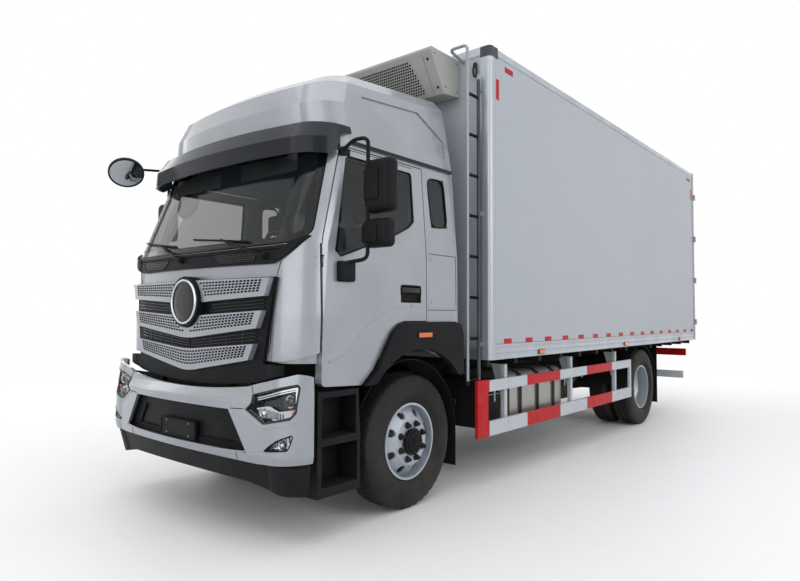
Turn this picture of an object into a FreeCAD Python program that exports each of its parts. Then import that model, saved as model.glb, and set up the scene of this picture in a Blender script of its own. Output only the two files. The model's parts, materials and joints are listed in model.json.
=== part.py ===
"""Refrigerated box truck, 4x2, with a tilting high-roof cab-over cab.

Millimetres, +Z up, +X to the truck's left.  Inside this script Y is a station: the distance rearward
from the front of the bumper.  On export everything moves forward by half the length, so that the
origin lies on the ground in the middle of the truck and the truck faces -Y.
"""
import FreeCAD, Part
import math
import os

os.makedirs("parts", exist_ok=True)

V = FreeCAD.Vector

# ---------------------------------------------------------------- driving dimensions
LENGTH = 9000.0            # bumper face to door lock rods
CAB_REAR = 1975.0          # rear wall of the cab
GAP = 8.0                  # shut line round doors and panels

# wheels and axles
FRONT_AXLE = 1390.0
WHEELBASE = 5080.0
REAR_AXLE = FRONT_AXLE + WHEELBASE
TYRE_R = 522.0
TYRE_WIDTH = 278.0
TREAD_WIDTH = 214.0
FRONT_TRACK = 2000.0
REAR_TRACK = 1870.0
TWIN_SPACING = 320.0
HAND_HOLES = 8
KINGPIN_X = FRONT_TRACK / 2 - 180
KINGPIN_R = 22.0

# ladder frame
RAIL_OUT = 430.0
RAIL_FLANGE = 80.0
RAIL_HEIGHT = 240.0
RAIL_WALL = 8.0
RAIL_Z = 730.0
RAIL_FRONT = 300.0
HORN_TOP = 830.0           # horns of the rails that carry the cab's tilt pins
RAIL_REAR = 8780.0
RAIL_TOP = RAIL_Z + RAIL_HEIGHT

# insulated box
BOX_WIDTH = 2600.0
BOX_FRONT = 2300.0
BOX_REAR = 8950.0
BOX_TOP = 3980.0
BOX_WALL = 80.0
SILL_HEIGHT = 88.0
BEARER_HEIGHT = 60.0
BOX_BOTTOM = RAIL_TOP + SILL_HEIGHT + BEARER_HEIGHT
FLOOR_HEIGHT = 100.0
POST_FACE = 110.0          # corner post, seen from the front
POST_SIDE = 80.0           # corner post, seen from the side
TOP_RAIL = 75.0
BOTTOM_RAIL = 138.0
PANEL_INSET = 3.0          # wall skin inside the face of the posts and rails
DOOR_PIN_X = 1312.0
DOOR_PIN_Y = 8972.0

# cab
CAB_SKIN = 40.0
DOOR_THICK = 56.0
CAB_BOTTOM = 1010.0
CAB_WAIST = 2760.0         # where the high roof starts
CAB_FLOOR = 1280.0
GLASS = 8.0
DOOR_PIVOT_X = 1143.0
DOOR_PIVOT_Y = 408.0
DOOR_PIN_LEVELS = [1330.0, 1880.0]
TILT_Y = 138.0
TILT_Z = 770.0
TILT_PIN_R = 18.0
TILT_EYE_R = 32.0
TILT_ARM_X = RAIL_OUT + 12  # inner face of the cab's tilt arms
TILT_ARM = 34.0

# bumper
BUMPER_HALF = 1230.0
BUMPER_WALL = 22.0

HALF = BOX_WIDTH / 2
BOX_FLOOR_TOP = BOX_BOTTOM + FLOOR_HEIGHT


# ---------------------------------------------------------------- shape helpers
def box(x0, x1, y0, y1, z0, z1):
    """Block between three pairs of limits."""
    return Part.makeBox(x1 - x0, y1 - y0, z1 - z0, V(x0, y0, z0))


def mirrored(shape):
    """The same shape on the truck's right side."""
    return shape.mirror(V(0, 0, 0), V(1, 0, 0))


def pair(shape):
    """A left piece and its mirror image, as a list."""
    return [shape, mirrored(shape)]


def face_of(points):
    """Flat face through 3-D points; a point ("arc", mid, end) bends the edge through mid."""
    edges = []
    start = points[0]
    here = start
    for item in points[1:]:
        if isinstance(item, tuple) and item[0] == "arc":
            edges.append(Part.Arc(here, item[1], item[2]).toShape())
            here = item[2]
        else:
            edges.append(Part.LineSegment(here, item).toShape())
            here = item
    if (here - start).Length > 1e-6:
        edges.append(Part.LineSegment(here, start).toShape())
    return Part.Face(Part.Wire(edges))


def lift(points, place):
    """Turn 2-D points, with arcs as ("arc", mid, end), into 3-D ones."""
    out = []
    for item in points:
        if item[0] == "arc":
            out.append(("arc", place(*item[1]), place(*item[2])))
        else:
            out.append(place(*item))
    return out


def prism_x(yz, x0, x1):
    """Outline in the side view, drawn out between two values of X."""
    return face_of(lift(yz, lambda y, z: V(x0, y, z))).extrude(V(x1 - x0, 0, 0))


def prism_y(xz, y0, y1):
    """Outline in the front view, drawn out between two stations."""
    return face_of(lift(xz, lambda x, z: V(x, y0, z))).extrude(V(0, y1 - y0, 0))


def prism_z(xy, z0, z1):
    """Outline in plan, drawn out between two heights."""
    return face_of(lift(xy, lambda x, y: V(x, y, z0))).extrude(V(0, 0, z1 - z0))


def rod(start, end, radius):
    """Straight round bar between two points."""
    run = end - start
    return Part.makeCylinder(radius, run.Length, start, run)


def turned(profile, centre, axis_x=1):
    """Body of revolution about X: profile rows are (distance outward along X, radius)."""
    points = [V(centre.x + axis_x * x, centre.y, centre.z + r) for x, r in profile]
    return face_of(points).revolve(centre, V(1, 0, 0), 360)


def bent_tube(points, radius, bend):
    """Round tube along straight runs joined by tangent arcs."""
    edges = []
    here = points[0]
    for index in range(1, len(points) - 1):
        corner = points[index]
        back = (points[index - 1] - corner).normalize()
        ahead = (points[index + 1] - corner).normalize()
        half_turn = back.getAngle(ahead) / 2
        reach = bend / math.tan(half_turn)
        first = corner + back * reach
        last = corner + ahead * reach
        middle_way = (back + ahead).normalize()
        middle = corner + middle_way * (bend / math.sin(half_turn) - bend)
        edges.append(Part.LineSegment(here, first).toShape())
        edges.append(Part.Arc(first, middle, last).toShape())
        here = last
    edges.append(Part.LineSegment(here, points[-1]).toShape())
    path = Part.Wire(edges)
    way = (points[1] - points[0]).normalize()
    section = Part.Wire(Part.Circle(points[0], way, radius).toShape())
    return path.makePipeShell([section], True, True, 1)


def fused(shapes):
    """One solid from pieces that meet or overlap."""
    first = shapes[0]
    if len(shapes) == 1:
        return first
    return first.fuse(shapes[1:]).removeSplitter()


def rounded(shape, radius, choose):
    """Fillet the edges that choose(edge) picks."""
    return shape.makeFillet(radius, [e for e in shape.Edges if choose(e)])


def edge_along(axis):
    """Picker for straight edges along one axis: 0 X, 1 Y, 2 Z."""
    def picks(edge):
        if len(edge.Vertexes) != 2:
            return False
        run = edge.Vertexes[1].Point - edge.Vertexes[0].Point
        return abs(abs(run[axis]) - run.Length) < 1e-6
    return picks


def soft_block(x0, x1, y0, y1, z0, z1, radius):
    """Cushion-like block with all its edges rounded."""
    block = box(x0, x1, y0, y1, z0, z1)
    return block.makeFillet(radius, block.Edges)


# ---------------------------------------------------------------- cab body
# Plan outlines of the cab at rising heights: height, half width, station of the nose, half width
# and station where the nose meets the corner, station where the corner meets the side, rear station,
# and the angle at which the outline leans back.
CAB_SECTIONS = [
    (CAB_BOTTOM, 1150, 166, 860, 196, 398, CAB_REAR, 0),
    (1500, 1164, 160, 870, 200, 402, CAB_REAR, 0),
    (2010, 1158, 150, 880, 222, 440, CAB_REAR, 0),
    (CAB_WAIST, 1100, 428, 820, 505, 700, CAB_REAR, 0),
]
ROOF_SECTIONS = [
    CAB_SECTIONS[-1],
    (3060, 1050, 420, 780, 498, 690, 1970, 0),
    (3225, 1005, 492, 740, 570, 770, 1962, 4),
    (3318, 935, 630, 700, 705, 900, 1935, 4.5),
    (3362, 850, 790, 640, 850, 1010, 1890, 4.5),
]
# The bumper: same columns.
BUMPER_SECTIONS = [
    (345, 1190, 70, 930, 140, 262, 300, 0),
    (540, BUMPER_HALF - 12, 22, 960, 92, 240, 300, 0),
    (604, BUMPER_HALF, 0, 960, 76, 236, 300, 0),
    (930, BUMPER_HALF, 2, 960, 86, 237, 300, 0),
    (992, BUMPER_HALF, 62, 960, 100, 239, 300, 0),
    (1150, BUMPER_HALF - 8, 70, 960, 128, 244, 300, 0),
]


def plan_outline(section, inset=0.0, rear_inset=None):
    """Closed outline of one section: flat rear and sides, round corners and a bowed nose."""
    height, half, nose, corner_x, corner_y, side_y, rear, lean = section
    rear_inset = inset if rear_inset is None else rear_inset
    x = half - inset
    back = rear - rear_inset
    cx = corner_x - inset * 0.3
    cy = corner_y + inset
    sy = side_y + inset * 0.4
    mid_x = cx + (x - cx) * math.cos(math.radians(45))
    mid_y = sy - (sy - cy) * math.sin(math.radians(45))
    nose_y = nose + inset
    side_l = Part.LineSegment(V(x, back, height), V(x, sy, height)).toShape()
    corner_l = Part.Arc(V(x, sy, height), V(mid_x, mid_y, height), V(cx, cy, height)).toShape()
    front = Part.Arc(V(cx, cy, height), V(0, nose_y, height), V(-cx, cy, height)).toShape()
    corner_r = Part.Arc(V(-cx, cy, height), V(-mid_x, mid_y, height), V(-x, sy, height)).toShape()
    side_r = Part.LineSegment(V(-x, sy, height), V(-x, back, height)).toShape()
    rear_edge = Part.LineSegment(V(-x, back, height), V(x, back, height)).toShape()
    wire = Part.Wire([side_l, corner_l, front, corner_r, side_r, rear_edge])
    if lean:
        wire.rotate(V(0, nose, height), V(1, 0, 0), lean)
    return wire


def body_loft(sections, inset=0.0, rear_inset=None):
    """Solid through the outlines of a table, moved inward (or outward, if negative) by inset."""
    wires = [plan_outline(row, inset, rear_inset) for row in sections]
    return Part.makeLoft(wires, True, True)


def stretched(sections, down=0.0, up=0.0):
    """The same table with its first and last rows moved down and up."""
    rows = [list(row) for row in sections]
    rows[0][0] -= down
    rows[-1][0] += up
    return [tuple(row) for row in rows]


# Door outline in the side view, (station, height); the window and the quarter window likewise.
DOOR_FRONT = 396.0
DOOR_REAR = 1530.0
DOOR_BOTTOM = 1016.0
DOOR_TOP = 2716.0
ARCH_TOP = 1472.0
# The lower front corner is bevelled so that the open door passes the bumper as the cab tilts.
DOOR_OUTLINE = [
    (DOOR_FRONT, 1056), (420, 1034), (785, DOOR_BOTTOM), (905, 1120), (1010, 1290), (1085, 1400), (1160, 1452),
    (1240, ARCH_TOP), (DOOR_REAR, ARCH_TOP), (DOOR_REAR, DOOR_TOP), (640, DOOR_TOP), (615, 2690),
    (DOOR_FRONT + 10, 2040), (DOOR_FRONT, 1985),
]
DOOR_WINDOW = [
    (503, 1962), (560, 1918), (1141, 2120), (1330, 2205), (1399, 2262), (1399, 2640), (1380, 2660),
    (680, 2660), (648, 2636),
]
QUARTER_WINDOW = [(1625, 2240), (1855, 2258), (1838, 2672), (1598, 2660)]
WINDSCREEN = [
    (-1104, 2092), (-1092, 2046), (-1050, 2028), (-1000, 1998), ("arc", (0, 1982), (1000, 1998)), (1050, 2028),
    (1092, 2046), (1104, 2092), (1034, 2722), ("arc", (0, 2742), (-1034, 2722)),
]


def grown(outline, by):
    """Side-view outline moved outward by a small even gap."""
    edges = []
    for index, point in enumerate(outline):
        after = outline[(index + 1) % len(outline)]
        edges.append(Part.LineSegment(V(point[0], point[1], 0), V(after[0], after[1], 0)).toShape())
    wire = Part.Wire(edges)
    moved = wire.makeOffset2D(by, 2)
    return [(v.Point.x, v.Point.y) for v in moved.OrderedVertexes]


# The lower corners of the nose end above the bumper, along this side-view line.
NOSE_LINE = [(-200, 900), (790, 900), (790, 1034), (428, 1034), (390, 1075), (390, 1268), (160, 1192),
             (-200, 1192)]
ARCH_Y = 1415.0
ARCH_Z = 560.0
ARCH_R = 690.0
CAB_HEM = 1190.0           # lower edge of the cab's side and rear behind the doors


def arch_cut(radius, x0, x1):
    """Round space over the front wheel."""
    return Part.makeCylinder(radius, x1 - x0, V(x0, ARCH_Y, ARCH_Z), V(1, 0, 0))


HINGE_KNUCKLE = 40.0
HINGE_PIN_R = 4.5
HINGE_EYE_R = 8.0


def door_hinge_lugs(z):
    """Two lugs that reach round the inner edge of the left door, and the pin between them."""
    x = DOOR_PIVOT_X
    y = DOOR_PIVOT_Y
    pin = Part.makeCylinder(HINGE_PIN_R, HINGE_KNUCKLE + 28, V(x, y, z - HINGE_KNUCKLE / 2 - 14))
    pieces = [pin]
    for low in (z - HINGE_KNUCKLE / 2 - 14, z + HINGE_KNUCKLE / 2 + 4):
        arm = [(x, y - 7), (x, y + 7), (1078, y + 7), (1078, 350), (1140, 350), (1140, 372), (1094, 372),
               (1094, y - 7)]
        pieces.append(prism_z(arm, low, low + 10))
        pieces.append(Part.makeCylinder(HINGE_EYE_R, 10, V(x, y, low)))
    return fused(pieces)


def make_tilt_arm():
    """Cranked arm under the cab's front sill, which clears the bumper as it turns on the rail's pin."""
    x0 = TILT_ARM_X
    x1 = TILT_ARM_X + TILT_ARM
    eye = Part.makeCylinder(TILT_EYE_R, TILT_ARM, V(x0, TILT_Y, TILT_Z), V(1, 0, 0))
    low = CAB_FLOOR - 80
    leg = prism_x([
        (TILT_Y + 6, TILT_Z + 30), (TILT_Y + 50, 880), (TILT_Y + 126, 962), (TILT_Y + 126, low), (TILT_Y + 196, low),
        (TILT_Y + 196, 930), (TILT_Y + 108, 838), (TILT_Y + 24, TILT_Z - 20),
    ], x0, x1)
    bore = Part.makeCylinder(TILT_PIN_R + 0.05, TILT_ARM, V(x0, TILT_Y, TILT_Z), V(1, 0, 0))
    return fused([eye, leg]).cut(bore)


def make_cab_shell():
    """Hollow lower cab with its door, window and screen openings, floor and rear wall."""
    outer = body_loft(CAB_SECTIONS)
    inner = body_loft(stretched(CAB_SECTIONS, 20, 20), CAB_SKIN)
    shell = outer.cut(inner)
    floor = inner.common(box(-1200, 1200, 0, 2100, CAB_FLOOR, CAB_FLOOR + 40))
    sill = inner.common(box(-1200, 1200, 200, 392, CAB_FLOOR - 90, CAB_FLOOR))
    cuts = []
    for side in (1, -1):
        x0, x1 = (960, 1300) if side > 0 else (-1300, -960)
        cuts.append(prism_x(grown(DOOR_OUTLINE, GAP), x0, x1))
        cuts.append(prism_x(QUARTER_WINDOW, x0, x1))
        cuts.append(arch_cut(ARCH_R, x0, x1))
    cuts.append(prism_y(WINDSCREEN, -100, 720))
    cuts.append(prism_x(NOSE_LINE, -1300, 1300))
    cuts.append(box(-1300, 1300, 780, 2100, 900, CAB_HEM))
    for x0 in (1050, -1300):
        cuts.append(box(x0, x0 + 250, DOOR_FRONT - 17, DOOR_FRONT + 1, CAB_BOTTOM - 1, 2000))
    hinges = pair(make_tilt_arm())
    for z in DOOR_PIN_LEVELS:
        hinges += pair(door_hinge_lugs(z))
    return fused([shell.cut(cuts), floor.cut(cuts[:6]), sill] + hinges)


def make_cab_roof():
    """High roof: a hollow moulding with a recessed panel on each flank."""
    outer = body_loft(ROOF_SECTIONS)
    inner = body_loft(stretched(ROOF_SECTIONS[:-1], 20), CAB_SKIN)
    roof = outer.cut(inner)
    slimmer = body_loft(stretched(ROOF_SECTIONS, 5, 5), 12)
    flank = [(830, 2850), (1905, 2880), (1905, 3040), (1590, 3225), (900, 3170)]
    for x0, x1 in ((700, 1200), (-1200, -700)):
        roof = roof.cut(prism_x(flank, x0, x1).cut(slimmer))
    return roof


def make_flares():
    """Wheel-arch flares: moulded skins that stand proud of the cab's side."""
    outer = body_loft(stretched(CAB_SECTIONS, 60))
    outline = [(785 + GAP, 1010)] + [(y + GAP, z - GAP) for y, z in DOOR_OUTLINE[3:8]]
    outline += [(1900, ARCH_TOP - GAP), (1985, 1440), (2024, 1360), (2030, 1010)]
    blank = prism_x(outline, 1040, 1204)
    blank = rounded(blank, 16, lambda e: min(v.Point.x for v in e.Vertexes) > 1203)
    flare = blank.cut(outer).cut(arch_cut(ARCH_R, 1000, 1300))
    return [flare, mirrored(flare)]


def screen_band(sections, near, far):
    """Thin skin between two insets of a table, for glass and for panels that follow the body."""
    return body_loft(sections, near).cut(body_loft(sections, far))


def make_cab_glass():
    """Windscreen and the two quarter windows."""
    pane = screen_band(CAB_SECTIONS, 8, 8 + GLASS)
    screen = pane.common(prism_y(WINDSCREEN, -100, 720))
    quarter = pane.common(prism_x(QUARTER_WINDOW, 960, 1300))
    return [screen] + pair(quarter)


def make_door(side):
    """Whole cab door, as thick as the cab wall, with its window cut and a handle pocket."""
    leaf = screen_band(CAB_SECTIONS, 0, DOOR_THICK).common(prism_x(DOOR_OUTLINE, 960, 1300))
    leaf = leaf.cut(prism_x(DOOR_WINDOW, 960, 1300))
    leaf = leaf.cut(box(1135, 1300, 1208, 1461, 1614, 1750))
    half = HINGE_KNUCKLE / 2
    x = DOOR_PIVOT_X
    y = DOOR_PIVOT_Y
    for z in DOOR_PIN_LEVELS:
        leaf = leaf.cut(box(1040, x + 11, 380, y + 30, z - half - 22, z + half + 22))
        knuckle = fused([Part.makeCylinder(9, 2 * half, V(x, y, z - half)),
                         box(x - 8, x + 8, y, y + 34, z - half, z + half)])
        leaf = fused([leaf, knuckle])
        leaf = leaf.cut(Part.makeCylinder(HINGE_PIN_R + 0.05, 2 * half + 2, V(x, y, z - half - 1)))
    return leaf if side > 0 else mirrored(leaf)


def make_door_window(side):
    pane = screen_band(CAB_SECTIONS, 12, 12 + GLASS).common(prism_x(DOOR_WINDOW, 960, 1300))
    return pane if side > 0 else mirrored(pane)


# ---------------------------------------------------------------- nose of the cab
# Grille bars in the front view: half width and height of the top ends, height of the top middle,
# half width and height of the bottom ends, height of the bottom middle.
GRILLE_BARS = [
    (910, 1766, 1768, 868, 1644, 1600),
    (850, 1546, 1506, 800, 1426, 1344),
    (776, 1320, 1264, 722, 1208, 1104),
]
VERTEX = 110.0             # half width of the rounded middle of a bar's edge
SURROUND = [
    (-918, 1774), (918, 1774), (822, 1186), (990, 1180), (990, 1112), (760, 1056), ("arc", (0, 1012), (-760, 1056)),
    (-990, 1112), (-990, 1180), (-822, 1186),
]
BADGE_R = 190.0
BADGE_Z = 1612.0


def veed(half, end, middle, way):
    """Edge of a bar, two straight arms that meet in a rounded middle; way -1 runs right to left."""
    knee = middle + (end - middle) * (VERTEX / 2) / (half - VERTEX / 2)
    middle_arc = ("arc", (0, middle), (way * VERTEX, knee))
    return [(-way * half, end), (-way * VERTEX, knee), middle_arc, (way * half, end)]


def bar_outline(row):
    """Closed outline of one bar from its row of GRILLE_BARS."""
    top_x, top_end, top_mid, low_x, low_end, low_mid = row
    return veed(top_x, top_end, top_mid, 1) + veed(low_x, low_end, low_mid, -1)


def make_grille_surround():
    """Dark moulding behind the bars, with the round boss at its centre."""
    plate = screen_band(CAB_SECTIONS, -30, 0).common(prism_y(SURROUND, -100, 380))
    boss = Part.makeCylinder(BADGE_R, 75, V(0, 66, BADGE_Z), V(0, 1, 0))
    return fused([plate, boss]).cut(body_loft(CAB_SECTIONS))


def make_grille_bars():
    """Three bowed bars whose faces lean back towards their upper edge."""
    bars = []
    boss = Part.makeCylinder(BADGE_R + 4, 200, V(0, 0, BADGE_Z), V(0, 1, 0))
    front = screen_band(CAB_SECTIONS, -72, -30)
    for row in GRILLE_BARS:
        bar = front.common(prism_y(bar_outline(row), -100, 330))
        bars.append(bar.cut(boss))
    return bars


def make_cowl():
    """Dark cowl under the windscreen whose ends sweep up round the corners."""
    outline = [
        (-1110, 2050), ("arc", (-1050, 1966), (-930, 1886)), ("arc", (-880, 1870), (-816, 1864)), (816, 1864),
        ("arc", (880, 1870), (930, 1886)), ("arc", (1050, 1966), (1110, 2050)), (1048, 2021), (998, 1991),
        ("arc", (0, 1976), (-998, 1991)), (-1048, 2021),
    ]
    return screen_band(CAB_SECTIONS, -22, 0).common(prism_y(outline, -100, 420))


def make_sun_visor():
    """Stepped visor that wraps round the top of the windscreen, and the rails over the doors."""
    rows = [
        (2640, 1122, 246, 850, 318, 600, 900, 0),
        (2760, 1122, 250, 850, 322, 620, 900, 0),
        (2880, 1085, 318, 820, 400, 660, 900, 0),
    ]
    keep = prism_x([(-100, 2600), (420, 2600), (585, 2690), (585, 2800), (720, 2830), (720, 2900), (-100, 2900)],
                   -1300, 1300)
    visor = screen_band(rows, 0, 14)
    web = body_loft(rows, 2).common(box(-1300, 1300, 0, 900, 2812, 2832))
    solid = fused([visor, web]).common(keep)
    cab = fused([body_loft(ROOF_SECTIONS), body_loft(CAB_SECTIONS)])
    solid = solid.cut(cab)
    rail = box(1080, 1118, 724, 1950, CAB_WAIST - 12, CAB_WAIST + 14).cut(cab)
    return [max(shape.Solids, key=lambda s: s.Volume) for shape in [solid] + pair(rail)]


# ---------------------------------------------------------------- bumper and lamps
BUMPER_TOP = [
    (-1300, 1158), (-1203, 1146), (-1092, 1113), (-860, 1062), (-760, 1036), ("arc", (0, 992), (760, 1036)),
    (860, 1062), (1092, 1113), (1203, 1146), (1300, 1158), (1300, 1300), (-1300, 1300),
]
BUMPER_LOW = [
    (-1300, 300), (1300, 300), (1300, 566), (1222, 566), (1078, 554), (885, 543), (700, 548),
    ("arc", (0, 552), (-700, 548)), (-885, 543), (-1078, 554), (-1222, 566), (-1300, 566),
]
# Side-view outline of what is taken off the bumper's upper ends, where the open doors pass over them.
BUMPER_END = [(150, 1300), (150, 1143), (162, 1137), (198, 1132), (230, 1125), (300, 1104), (300, 1300)]
BUMPER_END_X = 1060.0
INTAKE = [(-618, 880), (618, 880), (802, 608), (-802, 608)]
INTAKE_HOLE = [(-540, 812), (540, 812), (650, 646), (-650, 646)]
INTAKE_DEPTH = 72.0        # rear face of the intake behind the bumper's face
HEADLAMP = [
    (814, 990), (1172, 1074), (1188, 1058), (1182, 892), (1152, 848), (950, 804), (930, 808), (776, 890), (830, 934),
]
FOGLAMP = [(954, 640), (1068, 716), (1160, 756), (1168, 744), (1154, 684), (1140, 652), (966, 632)]
PLATE = (240.0, 614.0, 748.0)      # half width, low and high edge of the plate carrier
PLATE_Y = 30.0             # its front face
PLATE_THICK = 16.0
PLATE_HOLE_X = 300.0       # spacing of the plate's four screw holes
PLATE_HOLE_Z = 90.0
PLATE_HOLE_R = 3.5


def bumper_skin(near, far):
    """Skin of the bumper between two insets, open at the rear."""
    rows = stretched(BUMPER_SECTIONS, 0, 30)
    deep = stretched(BUMPER_SECTIONS, 30, 60)
    return body_loft(rows, near, 0).cut(body_loft(deep, far, -60))


def make_front_bumper():
    """Bright bumper shell with its intake and lamp openings."""
    skin = bumper_skin(0, BUMPER_WALL)
    cuts = [prism_y(BUMPER_TOP, -50, 400), prism_y(BUMPER_LOW, -50, 400), prism_y(INTAKE, -50, 400)]
    cuts.append(box(-1300, 1300, 262, 500, 0, 1400))
    cuts += pair(prism_x(BUMPER_END, BUMPER_END_X, 1300))
    for lamp in (HEADLAMP, FOGLAMP):
        cuts += pair(prism_y(lamp, -50, 300))
    return skin.cut(cuts)


def make_bumper_trim():
    """Dark parts under and inside the bumper: intake with its plate carrier, valance and upper filler."""
    rim = [(-634, 890), (634, 890), (826, 598), (-826, 598)]
    tray = bumper_skin(62, INTAKE_DEPTH).common(prism_y(INTAKE, -50, 400))
    mask = bumper_skin(48, 59).common(prism_y(INTAKE, -50, 300)).cut(prism_y(INTAKE_HOLE, -50, 300))
    lip = bumper_skin(BUMPER_WALL, INTAKE_DEPTH).common(prism_y(rim, -50, 300)).cut(prism_y(INTAKE, -50, 400))
    half, low_z, high_z = PLATE
    back = PLATE_Y + PLATE_THICK
    carrier = box(-half, half, PLATE_Y, back, low_z, high_z)
    feet = [box(x - 20, x + 20, back, 66, low_z + 34, high_z - 30) for x in (-150, 150)]
    holes = []
    middle_z = (low_z + high_z) / 2
    for dx in (-PLATE_HOLE_X / 2, PLATE_HOLE_X / 2):
        for dz in (-PLATE_HOLE_Z / 2, PLATE_HOLE_Z / 2):
            holes.append(Part.makeCylinder(PLATE_HOLE_R, PLATE_THICK, V(dx, PLATE_Y, middle_z + dz), V(0, 1, 0)))
    intake = fused([tray, mask, lip, carrier] + feet).cut(holes)
    low = [(-1300, 300), (1300, 300), (1300, 540), (-1300, 540)]
    valance_edge = [(-1300, 345), (-1050, 345), (-760, 400), ("arc", (0, 415), (760, 400)), (1050, 345),
                    (1300, 345), (1300, 200), (-1300, 200)]
    valance = bumper_skin(16, 40).common(prism_y(low, -50, 262)).cut(prism_y(valance_edge, -60, 400))
    under = bumper_skin(BUMPER_WALL, 40).common(box(-1300, 1300, -50, 262, 538, 596))
    filler = box(-1130, 1130, 186, 200, 700, 1036)
    stay = box(-1100, 1100, 200, RAIL_FRONT, 700, 760)
    for side in (-1, 1):
        x0, x1 = sorted((side * RAIL_OUT, side * (TILT_ARM_X + TILT_ARM + 30)))
        filler = filler.cut(box(x0, x1, 180, 210, TILT_Z - 10, 1100))
    taken = Part.makeCompound(make_headlamps() + [make_front_bumper()] + make_frame_rails())
    return [solid.cut(taken) for solid in (intake, valance, under, fused([filler, stay]))]


def make_headlamps():
    """Headlamp and fog lamp units that fill the openings of the bumper."""
    lamps = []
    for outline, depth in ((HEADLAMP, 70), (FOGLAMP, 60)):
        unit = bumper_skin(5, depth).common(prism_y(outline, -50, 236))
        lamps += pair(unit)
    return lamps


# ---------------------------------------------------------------- chassis
# Cross members between the rails: station, height of the lower edge, depth along the truck, height.
CROSS_MEMBERS = [
    (430, 780, 90, 120), (2060, 800, 100, 130), (2950, 800, 90, 130), (4000, 800, 90, 130),
    (5150, 800, 90, 130), (5850, 800, 110, 150), (7050, 800, 110, 150), (7800, 800, 90, 130),
    (8660, 800, 100, 130),
]
SPRING_X = 430.0
# Leaf packs: axle station, half span, height of the eyes, height of the axle seat, leaves, leaf width,
# height down to which the clamp reaches round the axle.
SPRINGS = [
    (FRONT_AXLE, 780, 640, 560, 3, 76, 410),
    (REAR_AXLE, 820, 712, 690, 5, 80, TYRE_R),
]
LEAF = 16.0


def make_frame_rails():
    """Two channel rails, open towards each other."""
    inside = RAIL_OUT - RAIL_FLANGE
    web = RAIL_OUT - RAIL_WALL
    top = RAIL_TOP
    low = RAIL_Z
    channel = [
        (RAIL_OUT, low), (RAIL_OUT, top), (inside, top), (inside, top - RAIL_WALL), (web, top - RAIL_WALL),
        (web, low + RAIL_WALL), (inside, low + RAIL_WALL), (inside, low),
    ]
    rail = prism_y(channel, RAIL_FRONT, RAIL_REAR)
    horn = box(web - 12, RAIL_OUT, TILT_Y - TILT_EYE_R, RAIL_FRONT + 60, low, HORN_TOP)
    out = V(1, 0, 0)
    reach = TILT_ARM_X + TILT_ARM + 5
    pin = Part.makeCylinder(TILT_PIN_R, reach - RAIL_OUT, V(RAIL_OUT, TILT_Y, TILT_Z), out)
    cap = Part.makeCylinder(TILT_PIN_R + 12, 10, V(reach, TILT_Y, TILT_Z), out)
    return pair(fused([rail, horn, pin, cap]))


def make_cross_members():
    """Flanged cross members whose ends meet the webs of the rails."""
    web = RAIL_OUT - RAIL_WALL
    members = []
    for station, low, depth, height in CROSS_MEMBERS:
        channel = [
            (station, low), (station + depth, low), (station + depth, low + 8), (station + 8, low + 8),
            (station + 8, low + height - 8), (station + depth, low + height - 8),
            (station + depth, low + height), (station, low + height),
        ]
        members.append(prism_x(channel, -web, web))
    return members


def make_leaf_springs():
    """Bowed leaf packs with their hangers, and the clamps that hold the axles."""
    axles = Part.makeCompound([make_front_axle(), make_rear_axle()])
    solids = []
    for station, span, eye_z, seat_z, leaves, width, clamp_z in SPRINGS:
        x0 = SPRING_X - width / 2
        pieces = []
        for leaf in range(leaves):
            reach = span * (1 - 0.18 * leaf)
            rise = (eye_z - seat_z) * (reach / span) ** 2
            low = seat_z - LEAF * leaf
            outline = [
                (station - reach, low + rise), ("arc", (station, low), (station + reach, low + rise)),
                (station + reach, low + rise + LEAF),
                ("arc", (station, low + LEAF), (station - reach, low + rise + LEAF)),
            ]
            pieces.append(prism_x(outline, x0, x0 + width))
        for end in (-1, 1):
            eye = station + end * span
            drop = RAIL_Z + 60
            hanger = [(eye - 42, eye_z - 26), (eye + 42, eye_z - 26), (eye + 60, drop), (eye - 60, drop)]
            ear = prism_x(hanger, x0 + 8, x0 + width - 8)
            rail = box(x0 - 40, RAIL_OUT, eye - 200, eye + 200, RAIL_Z, drop + 10)
            pieces.append(ear.cut(rail))
        clamp = box(x0 - 6, x0 + width + 6, station - 70, station + 70, clamp_z, seat_z + LEAF + 14)
        solids.append(fused(pieces + [clamp]).cut(axles))
    return [s for solid in solids for s in pair(solid)]


KNUCKLE_GAP = 3.0
KING_HALF = 82.0           # half height of the axle's kingpin boss


def make_front_axle():
    """Dropped I-beam with the kingpin bosses at its ends and the pins themselves."""
    beam = [(-700, 412), (-600, 396), (-430, 380), (430, 380), (600, 396), (700, 412), (700, 504),
            (600, 484), (430, 464), (-430, 464), (-600, 484), (-700, 504)]
    solid = prism_y(beam, FRONT_AXLE - 46, FRONT_AXLE + 46)
    for side in (-1, 1):
        web = [(-680, 428), (-430, 396), (430, 396), (680, 428), (680, 486), (430, 448), (-430, 448),
               (-680, 486)]
        y0 = FRONT_AXLE + side * 46 - (30 if side > 0 else 0)
        solid = solid.cut(prism_y(web, y0, y0 + 30))
    pieces = [solid]
    for side in (-1, 1):
        x = side * KINGPIN_X
        boss = Part.makeCylinder(46, 2 * KING_HALF, V(x, FRONT_AXLE, TYRE_R - KING_HALF))
        arm = box(min(side * 690, x), max(side * 690, x), FRONT_AXLE - 40, FRONT_AXLE + 40, 452, 560)
        pin = Part.makeCylinder(KINGPIN_R, 2 * KING_HALF + 104, V(x, FRONT_AXLE, TYRE_R - KING_HALF - 52))
        pieces += [boss, arm, pin]
    return fused(pieces)


SPINDLE_R = 34.0
ARM_PIN_Y = FRONT_AXLE + 215.0
ARM_Z = 398.0
TIE_R = 17.0


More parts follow.
